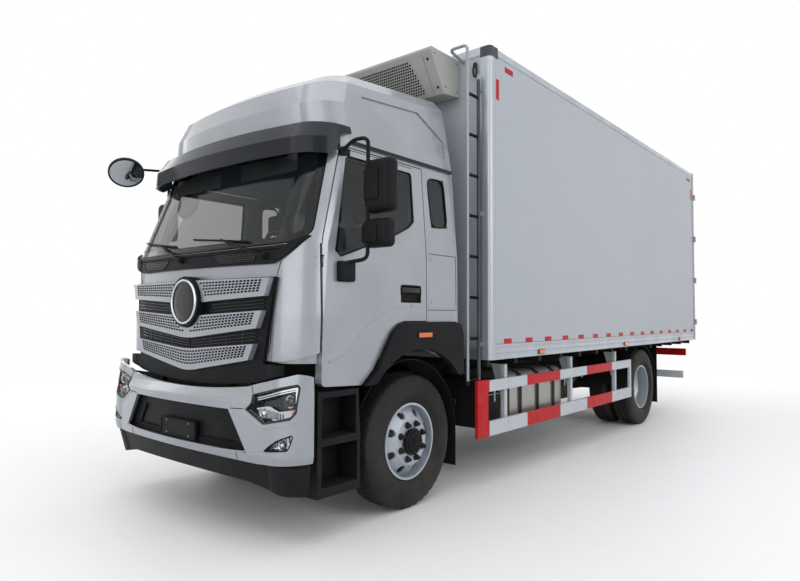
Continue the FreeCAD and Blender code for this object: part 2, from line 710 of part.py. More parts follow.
def make_knuckle(side):
    """Steering knuckle: a fork round the axle's boss, a spindle, a brake disc and a steering arm."""
    x = KINGPIN_X
    y = FRONT_AXLE
    z = TYRE_R
    top = z + KING_HALF + KNUCKLE_GAP
    low = z - KING_HALF - KNUCKLE_GAP
    lugs = []
    for z0, z1 in ((low - 42, low), (top, top + 42)):
        lug = fused([Part.makeCylinder(44, z1 - z0, V(x, y, z0)), box(x, x + 84, y - 40, y + 40, z0, z1)])
        lugs.append(lug)
    plate = box(x + 56, x + 84, y - 60, y + 60, low - 42, top + 42)
    spindle = Part.makeCylinder(SPINDLE_R, 130, V(x + 80, y, z), V(1, 0, 0))
    arm_outline = [(x + 46, y + 30), (x + 84, y + 30), (x + 70, y + 110), (x + 28, ARM_PIN_Y),
                   ("arc", (x, ARM_PIN_Y + 28), (x - 28, ARM_PIN_Y)), (x - 6, y + 130)]
    arm = prism_z(arm_outline, ARM_Z, ARM_Z + 30)
    root = box(x + 50, x + 84, y + 30, y + 62, ARM_Z, low)
    solid = fused(lugs + [plate, spindle, arm, root])
    pin_hole = Part.makeCylinder(KINGPIN_R + 0.05, 400, V(x, y, z - 200))
    tie_hole = Part.makeCylinder(TIE_R + 0.05, 60, V(x, ARM_PIN_Y, ARM_Z - 10))
    solid = solid.cut(pin_hole).cut(tie_hole)
    return solid if side > 0 else mirrored(solid)


def make_tie_rod():
    """Track rod that joins the two steering arms; its right eye is a clearance fit."""
    z = ARM_Z - 34
    bar = rod(V(-KINGPIN_X, ARM_PIN_Y, z), V(KINGPIN_X, ARM_PIN_Y, z), 19)
    pieces = [bar]
    for side, radius in ((1, TIE_R), (-1, TIE_R - 5)):
        x = side * KINGPIN_X
        pieces.append(Part.makeCylinder(30, 48, V(x, ARM_PIN_Y, z - 24)))
        pieces.append(Part.makeCylinder(radius, 84, V(x, ARM_PIN_Y, z)))
    return fused(pieces)


STUB_R = 45.0
REAR_STUB = 1020.0


def make_rear_axle():
    """Banjo axle: round case, tapered arms and the stub ends that carry the twin wheels."""
    z = TYRE_R
    y = REAR_AXLE
    case = Part.makeCylinder(205, 190, V(-95, y, z), V(1, 0, 0))
    case = case.makeFillet(60, [e for e in case.Edges if len(e.Vertexes) == 1])
    nose = Part.makeCone(120, 62, 230, V(0, y - 150, z), V(0, -1, 0))
    tube = turned([(0, 0), (0, 118), (160, 112), (330, 78), (640, 72), (640, STUB_R), (REAR_STUB, STUB_R),
                   (REAR_STUB, 0)], V(0, y, z))
    return fused([case, nose, tube, mirrored(tube)])


GEARBOX_REAR = 2050.0
SHAFT_Z = 740.0


def make_engine_block():
    """Engine and gearbox as one plain mass at their real place."""
    engine = box(-300, 300, 640, 1560, 560, 1180)
    gearbox = box(-180, 180, 1560, GEARBOX_REAR, 640, 980)
    return fused([engine, gearbox])


def make_propshaft():
    """Two-piece propeller shaft from the gearbox to the rear axle's nose."""
    start = V(0, GEARBOX_REAR, SHAFT_Z)
    middle = V(0, 4110, SHAFT_Z)
    end = V(0, REAR_AXLE - 380, TYRE_R)
    carrier = box(-110, 110, 4090, 4130, SHAFT_Z - 40, 930)
    joint = Part.makeSphere(58, middle)
    shaft = fused([rod(start, middle, 45), rod(middle, end, 45), joint, carrier])
    return shaft.cut(make_rear_axle())


TANK_X0 = 560.0
TANK_X1 = 1150.0
TANK_Z0 = 400.0
TANK_Z1 = 960.0
TANK_FRONT = 2880.0
TANK_REAR = 4010.0


def make_fuel_tank():
    """Rounded-square aluminium tank with its straps and two brackets to the rail."""
    tank = box(TANK_X0, TANK_X1, TANK_FRONT, TANK_REAR, TANK_Z0, TANK_Z1)
    tank = rounded(tank, 90, edge_along(1))
    pieces = [tank]
    for station in (3080, 3445, 3810):
        strap = rounded(box(TANK_X0 - 7, TANK_X1 + 7, station - 28, station + 28, TANK_Z0 - 7, TANK_Z1 + 7),
                        95, edge_along(1))
        bracket = box(RAIL_OUT, TANK_X0 + 40, station - 28, station + 28, TANK_Z0 + 140, RAIL_TOP - 30)
        pieces += [strap, bracket]
    cap = Part.makeCylinder(48, 46, V(TANK_X1 - 150, 2960, TANK_Z1 - 6))
    return fused(pieces + [cap])


# Boxes hung on the rails: side, near and far X, first and last station, low and high edge, roundness.
SIDE_BOXES = [
    (-1, 520, 1080, 2500, 3050, 480, 900, 14),
    (-1, 520, 1060, 3250, 4050, 470, 930, 60),
    (1, 560, 1080, 2440, 2800, 470, 900, 14),
    (1, 560, 1060, 4180, 4480, 560, 880, 14),
]
# Air tanks: side, X, first and last station, height, radius.
AIR_TANKS = [(-1, 640, 4300, 5200, 740, 120), (1, 640, 4640, 5400, 740, 120)]


def make_chassis_boxes():
    """Battery box, silencer, tool box, control box and air tanks, each on brackets from the rail."""
    solids = []
    for side, x0, x1, y0, y1, z0, z1, radius in SIDE_BOXES:
        body = rounded(box(x0, x1, y0, y1, z0, z1), radius, edge_along(1))
        brackets = [box(RAIL_OUT, x0 + 40, y - 25, y + 25, z1 - 160, z1 - 70) for y in (y0 + 90, y1 - 90)]
        solid = fused([body] + brackets)
        solids.append(solid if side > 0 else mirrored(solid))
    for side, x, y0, y1, z, radius in AIR_TANKS:
        tank = Part.makeCylinder(radius, y1 - y0, V(x, y0, z), V(0, 1, 0))
        tank = tank.makeFillet(50, [e for e in tank.Edges if len(e.Vertexes) == 1])
        brackets = [box(RAIL_OUT, x, y - 20, y + 20, z - 30, z + 70) for y in (y0 + 150, y1 - 150)]
        solid = fused([tank] + brackets)
        solids.append(solid if side > 0 else mirrored(solid))
    return solids


# ---------------------------------------------------------------- wheels
RIM_HALF = 112.0
HUB_R = 96.0
DRUM_R = 205.0
# Tyre section: (offset from the wheel's middle plane, radius), outer half.
TYRE_PROFILE = [(98, 300), (TYRE_WIDTH / 2, 405), (TREAD_WIDTH / 2, TYRE_R)]
RIM_R = 300.0
BARREL_R = 282.0


def make_tyre(centre):
    """Plain tyre ring; the tread is flat."""
    rows = TYRE_PROFILE + [(-x, r) for x, r in reversed(TYRE_PROFILE)]
    return turned(rows, centre)


def make_disc_wheel(centre, out, dish, holes=True):
    """Rim with a dished disc: out is +1 if the dish points to +X, dish its reach from the rim's middle."""
    rows = [
        (-RIM_HALF, RIM_R), (RIM_HALF, RIM_R), (RIM_HALF, BARREL_R), (44, BARREL_R),
        (dish, 182), (dish, 112), (dish - 13, 112), (dish - 13, 174), (30, BARREL_R),
        (-RIM_HALF, BARREL_R),
    ]
    wheel = turned(rows, centre, out)
    if holes:
        for index in range(HAND_HOLES):
            angle = math.radians(360 / HAND_HOLES * (index + 0.5))
            spot = V(centre.x, centre.y + 226 * math.cos(angle), centre.z + 226 * math.sin(angle))
            reach = V(out * 200, 0, 0)
            wheel = wheel.cut(Part.makeCylinder(31, 200, spot, reach))
    return wheel


FRONT_WHEEL_X = FRONT_TRACK / 2
REAR_TWIN_X = REAR_TRACK / 2
FRONT_DISH = 124.0
TWIN_HALF = TWIN_SPACING / 2


def make_front_wheel(side):
    """Tyre, and disc wheel on its hub, for one front corner."""
    centre = V(side * FRONT_WHEEL_X, FRONT_AXLE, TYRE_R)
    disc = make_disc_wheel(centre, side, FRONT_DISH)
    bore = SPINDLE_R + 0.05
    face = FRONT_DISH
    rows = [
        (-88, bore), (-88, DRUM_R), (34, DRUM_R), (50, 160), (face - 13, 160), (face - 13, HUB_R),
        (face + 24, HUB_R), (face + 44, 62), (face + 44, 0), (36, 0), (36, bore),
    ]
    hub = turned(rows, centre, side)
    return make_tyre(centre), fused([disc, hub])


def make_rear_wheel(side):
    """Twin tyres, and both disc wheels on one hub, for one rear corner."""
    middle = side * REAR_TWIN_X
    inner = V(middle - side * TWIN_HALF, REAR_AXLE, TYRE_R)
    outer = V(middle + side * TWIN_HALF, REAR_AXLE, TYRE_R)
    centre = V(middle, REAR_AXLE, TYRE_R)
    discs = [make_disc_wheel(inner, side, TWIN_HALF, False), make_disc_wheel(outer, -side, TWIN_HALF)]
    bore = STUB_R + 0.05
    rows = [
        (-286, bore), (-286, DRUM_R), (-84, DRUM_R), (-60, 160), (-13, 160), (-13, HUB_R), (92, HUB_R),
        (118, 70), (118, 0), (92, 0), (92, bore),
    ]
    hub = turned(rows, centre, side)
    return [make_tyre(inner), make_tyre(outer)], fused(discs + [hub])


# ---------------------------------------------------------------- guards and small chassis parts
GUARD_X = 1250.0
GUARD_FRONT = 2160.0
GUARD_REAR = 5955.0
GUARD_RAILS = [(435, 565), (832, 932)]
GUARD_POSTS = [2690, 4140, 5466]
GUARD_THICK = 28.0


def make_side_guards():
    """Side guards: two box rails with end uprights, and the gusseted posts that carry them."""
    pieces = []
    x0 = GUARD_X - GUARD_THICK
    for low, high in GUARD_RAILS:
        pieces.append(box(x0, GUARD_X, GUARD_FRONT + 175, GUARD_REAR, low, high))
    low = GUARD_RAILS[0][0]
    high = GUARD_RAILS[1][1]
    pieces.append(box(x0, GUARD_X, GUARD_FRONT, GUARD_FRONT + 175, low, high + 8))
    pieces.append(box(x0, GUARD_X, GUARD_REAR - 55, GUARD_REAR, low, high))
    for station in GUARD_POSTS:
        pieces.append(box(x0 - 40, x0, station - 25, station + 25, low + 20, BOX_BOTTOM - BEARER_HEIGHT))
        gusset = [(x0 - 40, BOX_BOTTOM - BEARER_HEIGHT), (x0 - 40, 700), (x0 - 160, BOX_BOTTOM - BEARER_HEIGHT)]
        pieces.append(prism_y(gusset, station - 4, station + 4))
    return pair(fused(pieces))


def make_rear_underrun():
    """Rear underrun beam on two arms bolted to the rails."""
    beam = rounded(box(-1150, 1150, 8700, 8760, 470, 590), 16, edge_along(0))
    pieces = [beam]
    for side in (-1, 1):
        x = side * RAIL_OUT
        x0, x1 = sorted((x, x + side * 12))
        arm = [(8480, 940), (8740, 940), (8740, 480), (8690, 480), (8640, 700)]
        pieces.append(prism_x(arm, x0, x1))
    return fused(pieces)


MUDGUARD_R = 640.0
MUDGUARD_WALL = 6.0


def arc_shell(centre_y, centre_z, radius, wall, from_deg, to_deg, x0, x1):
    """Curved sheet over a wheel, from one angle to another, measured from the rear round to the front."""
    def spot(r, degrees):
        angle = math.radians(degrees)
        return (centre_y + r * math.cos(angle), centre_z + r * math.sin(angle))
    middle = (from_deg + to_deg) / 2
    outer = radius + wall
    outline = [spot(radius, from_deg), ("arc", spot(radius, middle), spot(radius, to_deg)),
               spot(outer, to_deg), ("arc", spot(outer, middle), spot(outer, from_deg))]
    return prism_x(outline, x0, x1)


REAR_GUARD_R = 585.0


def make_mudguards():
    """Front wheelhouses with flaps, and the arched rear mudguards with their stays and flaps."""
    front = arc_shell(FRONT_AXLE, TYRE_R, MUDGUARD_R, MUDGUARD_WALL, 0, 150, 800, 1100)
    flap = box(800, 1100, FRONT_AXLE + MUDGUARD_R, FRONT_AXLE + MUDGUARD_R + MUDGUARD_WALL, 215, TYRE_R)
    stay = box(RAIL_OUT, 1090, FRONT_AXLE + MUDGUARD_R + MUDGUARD_WALL, FRONT_AXLE + MUDGUARD_R + 26, 740, 780)
    front_solid = fused([front, flap, stay])
    rear = arc_shell(REAR_AXLE, TYRE_R, REAR_GUARD_R, MUDGUARD_WALL, 8, 172, 600, GUARD_X - GUARD_THICK - GAP)
    centre_y = REAR_AXLE
    reach = (REAR_GUARD_R + MUDGUARD_WALL) * math.cos(math.radians(24))
    height = TYRE_R + REAR_GUARD_R * math.sin(math.radians(24))
    stays = []
    for end in (-1, 1):
        y0 = centre_y + end * (reach + 6) - 14
        stays.append(box(RAIL_OUT, 1200, y0, y0 + 28, height, height + 28))
    flap_y = REAR_AXLE + 700
    rear_flap = box(610, 1205, flap_y, flap_y + 8, 230, BOX_BOTTOM)
    return pair(front_solid) + pair(fused([rear] + stays)) + pair(rear_flap)


def make_cab_steps():
    """Two-tread entry steps under each cab door."""
    outline = [(352, 300), (760, 300), (760, 690), (744, 900), (744, 1000), (352, 1000)]
    block = prism_x(outline, 800, 1165)
    wells = [box(1000, 1300, 392, 716, 690, 960), box(960, 1300, 392, 730, 366, 640)]
    block = block.cut(wells)
    inside = box(820, 940, 372, 724, 320, 980)
    block = block.cut(inside)
    bracket = box(RAIL_OUT, 810, 480, 560, 800, 900)
    return pair(fused([block, bracket]))


def make_rear_lamps():
    """Rear lamp clusters on a bar under the door sill."""
    bar = box(-1180, 1180, 8800, 8830, 846, RAIL_TOP - 4)
    hangers = [box(x - 30, x + 30, 8790, 8830, 940, BOX_BOTTOM - BEARER_HEIGHT) for x in (-500, 500)]
    lamps = []
    for side in (-1, 1):
        x0, x1 = sorted((side * 700, side * 1160))
        lamp = rounded(box(x0, x1, 8830, 8872, 846, RAIL_TOP - 4), 12, edge_along(1))
        lamps.append(lamp)
    return [fused([bar] + hangers)] + lamps


# ---------------------------------------------------------------- insulated box
FACE_X = HALF - PANEL_INSET
WALL_IN = HALF - BOX_WALL
REAR_POST = 100.0          # width of the rear frame's posts
REAR_FRAME_Y = BOX_REAR - 90.0
HEADER = 100.0


def make_floor_bearers():
    """Sills along the rails and cross bearers under the floor."""
    pieces = []
    for side in (-1, 1):
        x0, x1 = sorted((side * (RAIL_OUT - RAIL_FLANGE), side * RAIL_OUT))
        pieces.append(box(x0, x1, BOX_FRONT + 30, RAIL_REAR + 120, RAIL_TOP, RAIL_TOP + SILL_HEIGHT))
    count = 14
    first = BOX_FRONT + 60
    last = REAR_FRAME_Y - 80
    for index in range(count):
        y = first + (last - first) * index / (count - 1)
        reach = 590 if abs(y - REAR_AXLE) < REAR_GUARD_R / 2 else 1240
        pieces.append(box(-reach, reach, y - 30, y + 30, RAIL_TOP + SILL_HEIGHT, BOX_BOTTOM))
    return fused(pieces)


def make_box_floor():
    """Insulated floor slab with drain grooves along it."""
    slab = box(-HALF + 50, HALF - 50, BOX_FRONT + BOX_WALL + 6, REAR_FRAME_Y, BOX_BOTTOM, BOX_FLOOR_TOP)
    for side in (-1, 1):
        x0, x1 = sorted((side * 1120, side * 1160))
        slab = slab.cut(box(x0, x1, BOX_FRONT + BOX_WALL, REAR_FRAME_Y + 1, BOX_FLOOR_TOP - 20, BOX_FLOOR_TOP + 1))
    return slab


def make_box_walls():
    """Two side walls and the front wall, flat insulated panels."""
    top = BOX_TOP - BOX_WALL
    side = box(WALL_IN, FACE_X, BOX_FRONT + POST_SIDE, REAR_FRAME_Y, BOX_FLOOR_TOP, top)
    side = side.cut(box(HALF - 50, HALF, BOX_FRONT, BOX_REAR, BOX_BOTTOM, BOX_BOTTOM + BOTTOM_RAIL))
    front = box(-HALF + POST_FACE, HALF - POST_FACE, BOX_FRONT + 6, BOX_FRONT + BOX_WALL + 6,
                BOX_BOTTOM, top)
    return pair(side) + [front]


def make_box_roof():
    return box(-HALF + POST_FACE, HALF - POST_FACE, BOX_FRONT + 6, REAR_FRAME_Y, BOX_TOP - BOX_WALL,
               BOX_TOP - 4)


def make_box_edge_rails():
    """Aluminium corner posts, ribbed bottom rails, top rails and the front sill and header."""
    half = HALF
    y0 = BOX_FRONT
    y1 = BOX_FRONT + POST_SIDE
    r = 38
    post = [(half - POST_FACE, y0), (half - r, y0),
            ("arc", (half - r * 0.293, y0 + r * 0.293), (half, y0 + r)), (half, y1), (half - POST_FACE, y1)]
    pieces = [prism_z(post, BOX_BOTTOM, BOX_TOP - 100)]
    # bottom rail: a face with three ribs over a plain web
    z = BOX_BOTTOM
    x_in = half - 50
    ribs = [(x_in, z), (half, z), (half, z + 18), (half - 5, z + 24), (half - 5, z + 52), (half, z + 58),
            (half, z + 74), (half - 5, z + 80), (half - 5, z + 108), (half, z + 114),
            (half, z + BOTTOM_RAIL), (x_in, z + BOTTOM_RAIL)]
    pieces.append(prism_y(ribs, y1, REAR_FRAME_Y))
    t = BOX_TOP
    top = [(half - POST_FACE, t - BOX_WALL), (half - POST_FACE, t), (half - 24, t),
           ("arc", (half - 7, t - 7), (half, t - 24)), (half, t - TOP_RAIL), (FACE_X, t - BOX_WALL)]
    pieces.append(prism_y(top, BOX_FRONT + 130, REAR_FRAME_Y))
    front_top = box(-half + POST_FACE, half - POST_FACE, y0, y0 + 6, BOX_TOP - TOP_RAIL, BOX_TOP)
    front_low = box(-half + POST_FACE, half - POST_FACE, y0, y0 + 6, BOX_BOTTOM, BOX_BOTTOM + 100)
    return pair(pieces[0]) + pair(pieces[1]) + pair(pieces[2]) + [front_top, front_low]


def make_box_corners():
    """Dark cast caps on the two upper front corners."""
    cap = box(HALF - POST_FACE, HALF, BOX_FRONT, BOX_FRONT + 130, BOX_TOP - 100, BOX_TOP)
    cap = cap.cut(box(HALF - POST_FACE - 1, FACE_X, BOX_FRONT + POST_SIDE, BOX_FRONT + 131, BOX_TOP - 101,
                      BOX_TOP - BOX_WALL))
    outer = [e for e in cap.Edges if edge_along(2)(e) and abs(e.Vertexes[0].Point.x - HALF) < 1
             and abs(e.Vertexes[0].Point.y - BOX_FRONT) < 1]
    return pair(cap.makeFillet(38, outer))


def make_box_rear_frame():
    """Rear door frame: posts, header and sill, with the fixed hinge lugs and pins on its flanks."""
    y0, y1 = REAR_FRAME_Y, BOX_REAR
    pieces = []
    for side in (-1, 1):
        x0, x1 = sorted((side * HALF, side * (HALF - REAR_POST)))
        pieces.append(box(x0, x1, y0, y1, BOX_BOTTOM, BOX_TOP))
    pieces.append(box(-HALF, HALF, y0, y1, BOX_TOP - HEADER, BOX_TOP))
    pieces.append(box(-HALF, HALF, y0, y1, BOX_BOTTOM, BOX_FLOOR_TOP))
    for z in REAR_HINGES:
        for side in (-1, 1):
            pin = V(side * DOOR_PIN_X, DOOR_PIN_Y, z - REAR_LUG / 2 - 12)
            pieces.append(Part.makeCylinder(REAR_PIN_R, REAR_LUG + 24, pin))
            for dz in (-1, 1):
                low = z + dz * (REAR_LUG / 2 + 7) - 6
                x0, x1 = sorted((side * (HALF - 16), side * (DOOR_PIN_X + 10)))
                lug = box(x0, x1, y1 - 30, DOOR_PIN_Y + 10, low, low + 12)
                pieces.append(lug)
    return fused(pieces)


REAR_HINGES = [1420.0, 2130.0, 2840.0, 3560.0]
REAR_LUG = 64.0            # height of a hinge strap's knuckle
REAR_PIN_R = 6.0
REAR_LEAF = 80.0
LEAF_LOW = BOX_FLOOR_TOP + 8
LEAF_TOP = BOX_TOP - HEADER - 8
LEAF_OUT = HALF - REAR_POST - 6


def make_box_door(side):
    """Insulated rear door leaf with its three-strap hinges."""
    y1 = BOX_REAR
    leaf = box(5, LEAF_OUT, y1 - REAR_LEAF, y1, LEAF_LOW, LEAF_TOP)
    leaf = rounded(leaf, 12, edge_along(1))
    pieces = [leaf]
    for z in REAR_HINGES:
        pad = box(LEAF_OUT - 150, LEAF_OUT, y1, y1 + 14, z - REAR_LUG / 2, z + REAR_LUG / 2)
        strap = box(LEAF_OUT - 20, DOOR_PIN_X, y1 + 5, y1 + 14, z - REAR_LUG / 2, z + REAR_LUG / 2)
        knuckle = Part.makeCylinder(11, REAR_LUG, V(DOOR_PIN_X, DOOR_PIN_Y, z - REAR_LUG / 2))
        pieces += [pad, strap, knuckle]
    solid = fused(pieces)
    for z in REAR_HINGES:
        hole = Part.makeCylinder(REAR_PIN_R + 0.05, REAR_LUG + 4, V(DOOR_PIN_X, DOOR_PIN_Y, z - REAR_LUG / 2 - 2))
        solid = solid.cut(hole)
    return solid if side > 0 else mirrored(solid)


ROD_R = 13.0
LOCK_RODS = [170.0, 760.0]


def make_door_gear(side):
    """Lock rods with their guides, cams and handles."""
    y = BOX_REAR + 22
    solids = []
    for x in LOCK_RODS:
        pieces = [rod(V(x, y, LEAF_LOW - 30), V(x, y, LEAF_TOP + 30), ROD_R)]
        for z in (LEAF_LOW + 60, 1900, 2600, 3200, LEAF_TOP - 60):
            pieces.append(box(x - 42, x + 42, BOX_REAR, BOX_REAR + 12, z - 22, z + 22))
            pieces.append(box(x - 20, x + 20, BOX_REAR + 12, BOX_REAR + 40, z - 16, z + 16))
        handle = box(x, x + 380, y - 5, y + 5, 1610, 1646)
        grip = box(x + 340, x + 380, BOX_REAR, y + 8, 1600, 1656)
        hub = Part.makeCylinder(y - BOX_REAR, 60, V(x, y, 1598))
        pieces += [handle, grip, hub]
        for z in (LEAF_LOW - 24, LEAF_TOP + 4):
            pieces.append(box(x - 24, x + 24, y - 12, LENGTH, z, z + 20))
        solids.append(fused(pieces))
    if side > 0:
        return solids
    return [mirrored(s) for s in solids]


# ---------------------------------------------------------------- cooling unit, evaporator, ladder
UNIT_HALF = 960.0
UNIT_PROFILE = [(1850, 3908), (1846, 3880), (2056, 3532), (BOX_FRONT, 3560), (BOX_FRONT, 3908)]


def make_cooling_unit():
    """Nose-mounted cooling unit: overhanging housing with a recessed air inlet in its raked face."""
    body = prism_x(UNIT_PROFILE, -UNIT_HALF, UNIT_HALF)
    body = rounded(body, 14, lambda e: edge_along(0)(e) and e.Vertexes[0].Point.y < 2100)
    (y1, z1), (y0, z0) = UNIT_PROFILE[1], UNIT_PROFILE[2]
    way = V(0, y1 - y0, z1 - z0).normalize()
    back = V(0, way.z, -way.y)
    low = V(0, y0, z0) + way * 40
    high = V(0, y1, z1) - way * 70
    lift_out = back * -20
    corners = [low + lift_out, high + lift_out, high + back * 24, low + back * 24]
    inlet = face_of([V(-640, c.y, c.z) for c in corners]).extrude(V(1280, 0, 0))
    body = body.cut(inlet)
    bars = []
    for index in range(7):
        start = low + (high - low) * ((index + 0.5) / 7)
        bar = [start - way * 7, start + way * 7, start + way * 7 + back * 25, start - way * 7 + back * 25]
        bars.append(face_of([V(-640, c.y, c.z) for c in bar]).extrude(V(1280, 0, 0)))
    return fused([body] + bars)


def make_evaporator():
    """Evaporator housing under the roof inside the box, with three fan openings."""
    y0 = BOX_FRONT + BOX_WALL + 6
    profile = [(y0, 3560), (y0 + 160, 3560), (y0 + 560, 3740), (y0 + 560, 3900), (y0, 3900)]
    body = prism_x(profile, -720, 720)
    for x in (-460, 0, 460):
        body = body.cut(Part.makeCylinder(150, 60, V(x, y0 + 320, 3632 - 20), V(0, -0.41, 0.912)))
    return body


LADDER_X = 1200.0
LADDER_NEAR = 2075.0
LADDER_FAR = 2255.0
RUNGS = 8
RUNG_FIRST = 950.0
RUNG_STEP = 363.0


def make_ladder():
    """Roof ladder beside the box's left front post; its front rail ends in a hooped grab rail."""
    low = RUNG_FIRST - 20
    hoop = bent_tube([V(LADDER_X, LADDER_NEAR, low), V(LADDER_X, LADDER_NEAR, 3925),
                      V(LADDER_X - 190, LADDER_NEAR, 3925), V(LADDER_X - 190, BOX_FRONT, 3880)], 14, 45)
    far = rod(V(LADDER_X, LADDER_FAR, low), V(LADDER_X, LADDER_FAR, 3700), 14)
    pieces = [hoop, far]
    for index in range(RUNGS):
        z = RUNG_FIRST + RUNG_STEP * index
        pieces.append(rod(V(LADDER_X, LADDER_NEAR, z), V(LADDER_X, LADDER_FAR, z), 11))
    for z in (1240, 2420, 3560):
        pieces.append(box(LADDER_X - 12, LADDER_X + 12, LADDER_FAR, BOX_FRONT, z, z + 40))
    return fused(pieces)


# ---------------------------------------------------------------- cab interior and mirrors
DRIVER_X = 560.0
WHEEL_CENTRE = V(DRIVER_X, 640, 2030)
WHEEL_LEAN = -28.0
COLUMN_R = 38.0


def make_dashboard():
    """Dashboard moulding across the cab, with the instrument hood and the engine cover between the seats."""
    inner = body_loft(stretched(CAB_SECTIONS, 0, 10), CAB_SKIN + 6)
    profile = [(100, 1325), (430, 1325), (500, 1560), (560, 1700), (570, 1850), (500, 1930), (100, 1960)]
    dash = inner.common(prism_x(profile, -1085, 1085))
    hood = prism_x([(340, 1900), (600, 1840), (590, 1990), (520, 2020), (380, 2000)],
                   DRIVER_X - 230, DRIVER_X + 230)
    cover = prism_x([(560, 1320), (1560, 1320), (1560, 1560), (1380, 1640), (700, 1640), (560, 1560)],
                    -230, 230)
    dash = fused([dash.cut(door_room()), hood]).cut(steering_column())
    return [dash, cover]


def door_room():
    """Space the two door leaves fill, with air round them."""
    return Part.makeCompound([box(DOOR_PIVOT_X - 85, 1300, 330, 1560, 1000, 2760),
                              box(-1300, -DOOR_PIVOT_X + 85, 330, 1560, 1000, 2760)])


# Seats: middle X, width of the cushion.
SEATS = [(DRIVER_X, 500), (-620, 500)]


def make_seats():
    """Seat cushions, backs and headrests on their bases, and the bunk behind them."""
    solids = []
    for x, width in SEATS:
        x0 = x - width / 2
        x1 = x + width / 2
        solids.append(box(x0 + 60, x1 - 60, 930, 1330, CAB_FLOOR + 40, 1560))
        solids.append(soft_block(x0, x1, 860, 1370, 1560, 1690, 45))
        back = soft_block(x0 + 10, x1 - 10, 1380, 1500, 1640, 2290, 45)
        solids.append(back)
        solids.append(soft_block(x - 130, x + 130, 1395, 1495, 2310, 2500, 40))
    solids.append(soft_block(-1040, 1040, 1575, 1920, 1640, 1760, 30))
    solids.append(box(-1030, 1030, 1585, 1925, CAB_FLOOR + 40, 1640))
    return solids


def on_column(shape):
    """Moves a shape drawn round the Z axis to the steering column."""
    shape.rotate(V(0, 0, 0), V(1, 0, 0), WHEEL_LEAN)
    shape.translate(WHEEL_CENTRE)
    return shape


def steering_column():
    return on_column(Part.makeCylinder(COLUMN_R, 190, V(0, 0, -210)))


def make_steering_wheel():
    """Steering wheel: rim, hub and three spokes on its column."""
    section = [(-9, 189), (9, 189), (15, 197), (15, 213), (9, 221), (-9, 221), (-15, 213), (-15, 197)]
    rim = turned(section, V(0, 0, 0))
    rim.rotate(V(0, 0, 0), V(0, 1, 0), 90)
    hub = Part.makeCylinder(62, 40, V(0, 0, -34))
    spokes = []
    for degrees in (90, 210, 330):
        angle = math.radians(degrees)
        end = V(195 * math.cos(angle), 195 * math.sin(angle), -4)
        spokes.append(rod(V(0, 0, -18), end, 13))
    return fused([on_column(fused([rim, hub] + spokes)), steering_column()])


MIRROR_TUBE = 14.0
# Mirror heads: low and high edge, near and far X.
MIRROR_HEADS = [(2225, 2600, 1270, 1515), (1985, 2185, 1255, 1495)]


def make_mirrors(side):
    """Two mirror heads on a bent tube, which stands on the door at its belt and its top corner."""
    tube = bent_tube([V(1092, 640, 2690), V(1200, 640, 2752), V(1312, 668, 2752), V(1312, 668, 1905),
                      V(1165, 600, 1880)], MIRROR_TUBE, 32)
    foot = rounded(box(1140, 1206, 520, 672, 1745, 1892), 12, edge_along(0))
    top_foot = rounded(box(1076, 1112, 600, 700, 2650, 2712), 8, edge_along(0))
    pieces = [tube, foot, top_foot]
    for low, high, x0, x1 in MIRROR_HEADS:
        head = prism_z([(x0, 674), (x0 + 24, 656), (x1 - 44, 656), (x1, 690), (x1, 748), (x0, 748)], low, high)
        head = head.makeFillet(16, [e for e in head.Edges if e.Vertexes[0].Point.y < 720
                                    and e.Vertexes[-1].Point.y < 720])
        head = head.cut(box(x0 + 14, x1 - 14, 736, 760, low + 14, high - 14))
        pieces.append(head)
    solid = fused(pieces).cut(body_loft(CAB_SECTIONS))
    solids = sorted(solid.Solids, key=lambda s: s.Volume)
    return solids[-1] if side > 0 else mirrored(solids[-1])


def make_front_mirror():
    """Round kerb mirror on an arm from the right end of the visor."""
    centre = V(-1200, 190, 2780)
    way = V(0.62, -0.30, -0.72).normalize()
    disc = Part.makeCylinder(150, 34, centre - way * 34, way)
    disc = disc.makeFillet(16, [e for e in disc.Edges if len(e.Vertexes) == 1
                                and (e.CenterOfMass - centre).Length > 20])
    arm = bent_tube([centre - way * 30, centre - way * 80 + V(0, 40, 0), V(-1160, 470, 2846),
                     V(-1070, 640, 2846)], 11, 25)
    mirror = fused([disc, arm]).cut(body_loft(ROOF_SECTIONS)).cut(make_sun_visor())
    return max(mirror.Solids, key=lambda s: s.Volume)


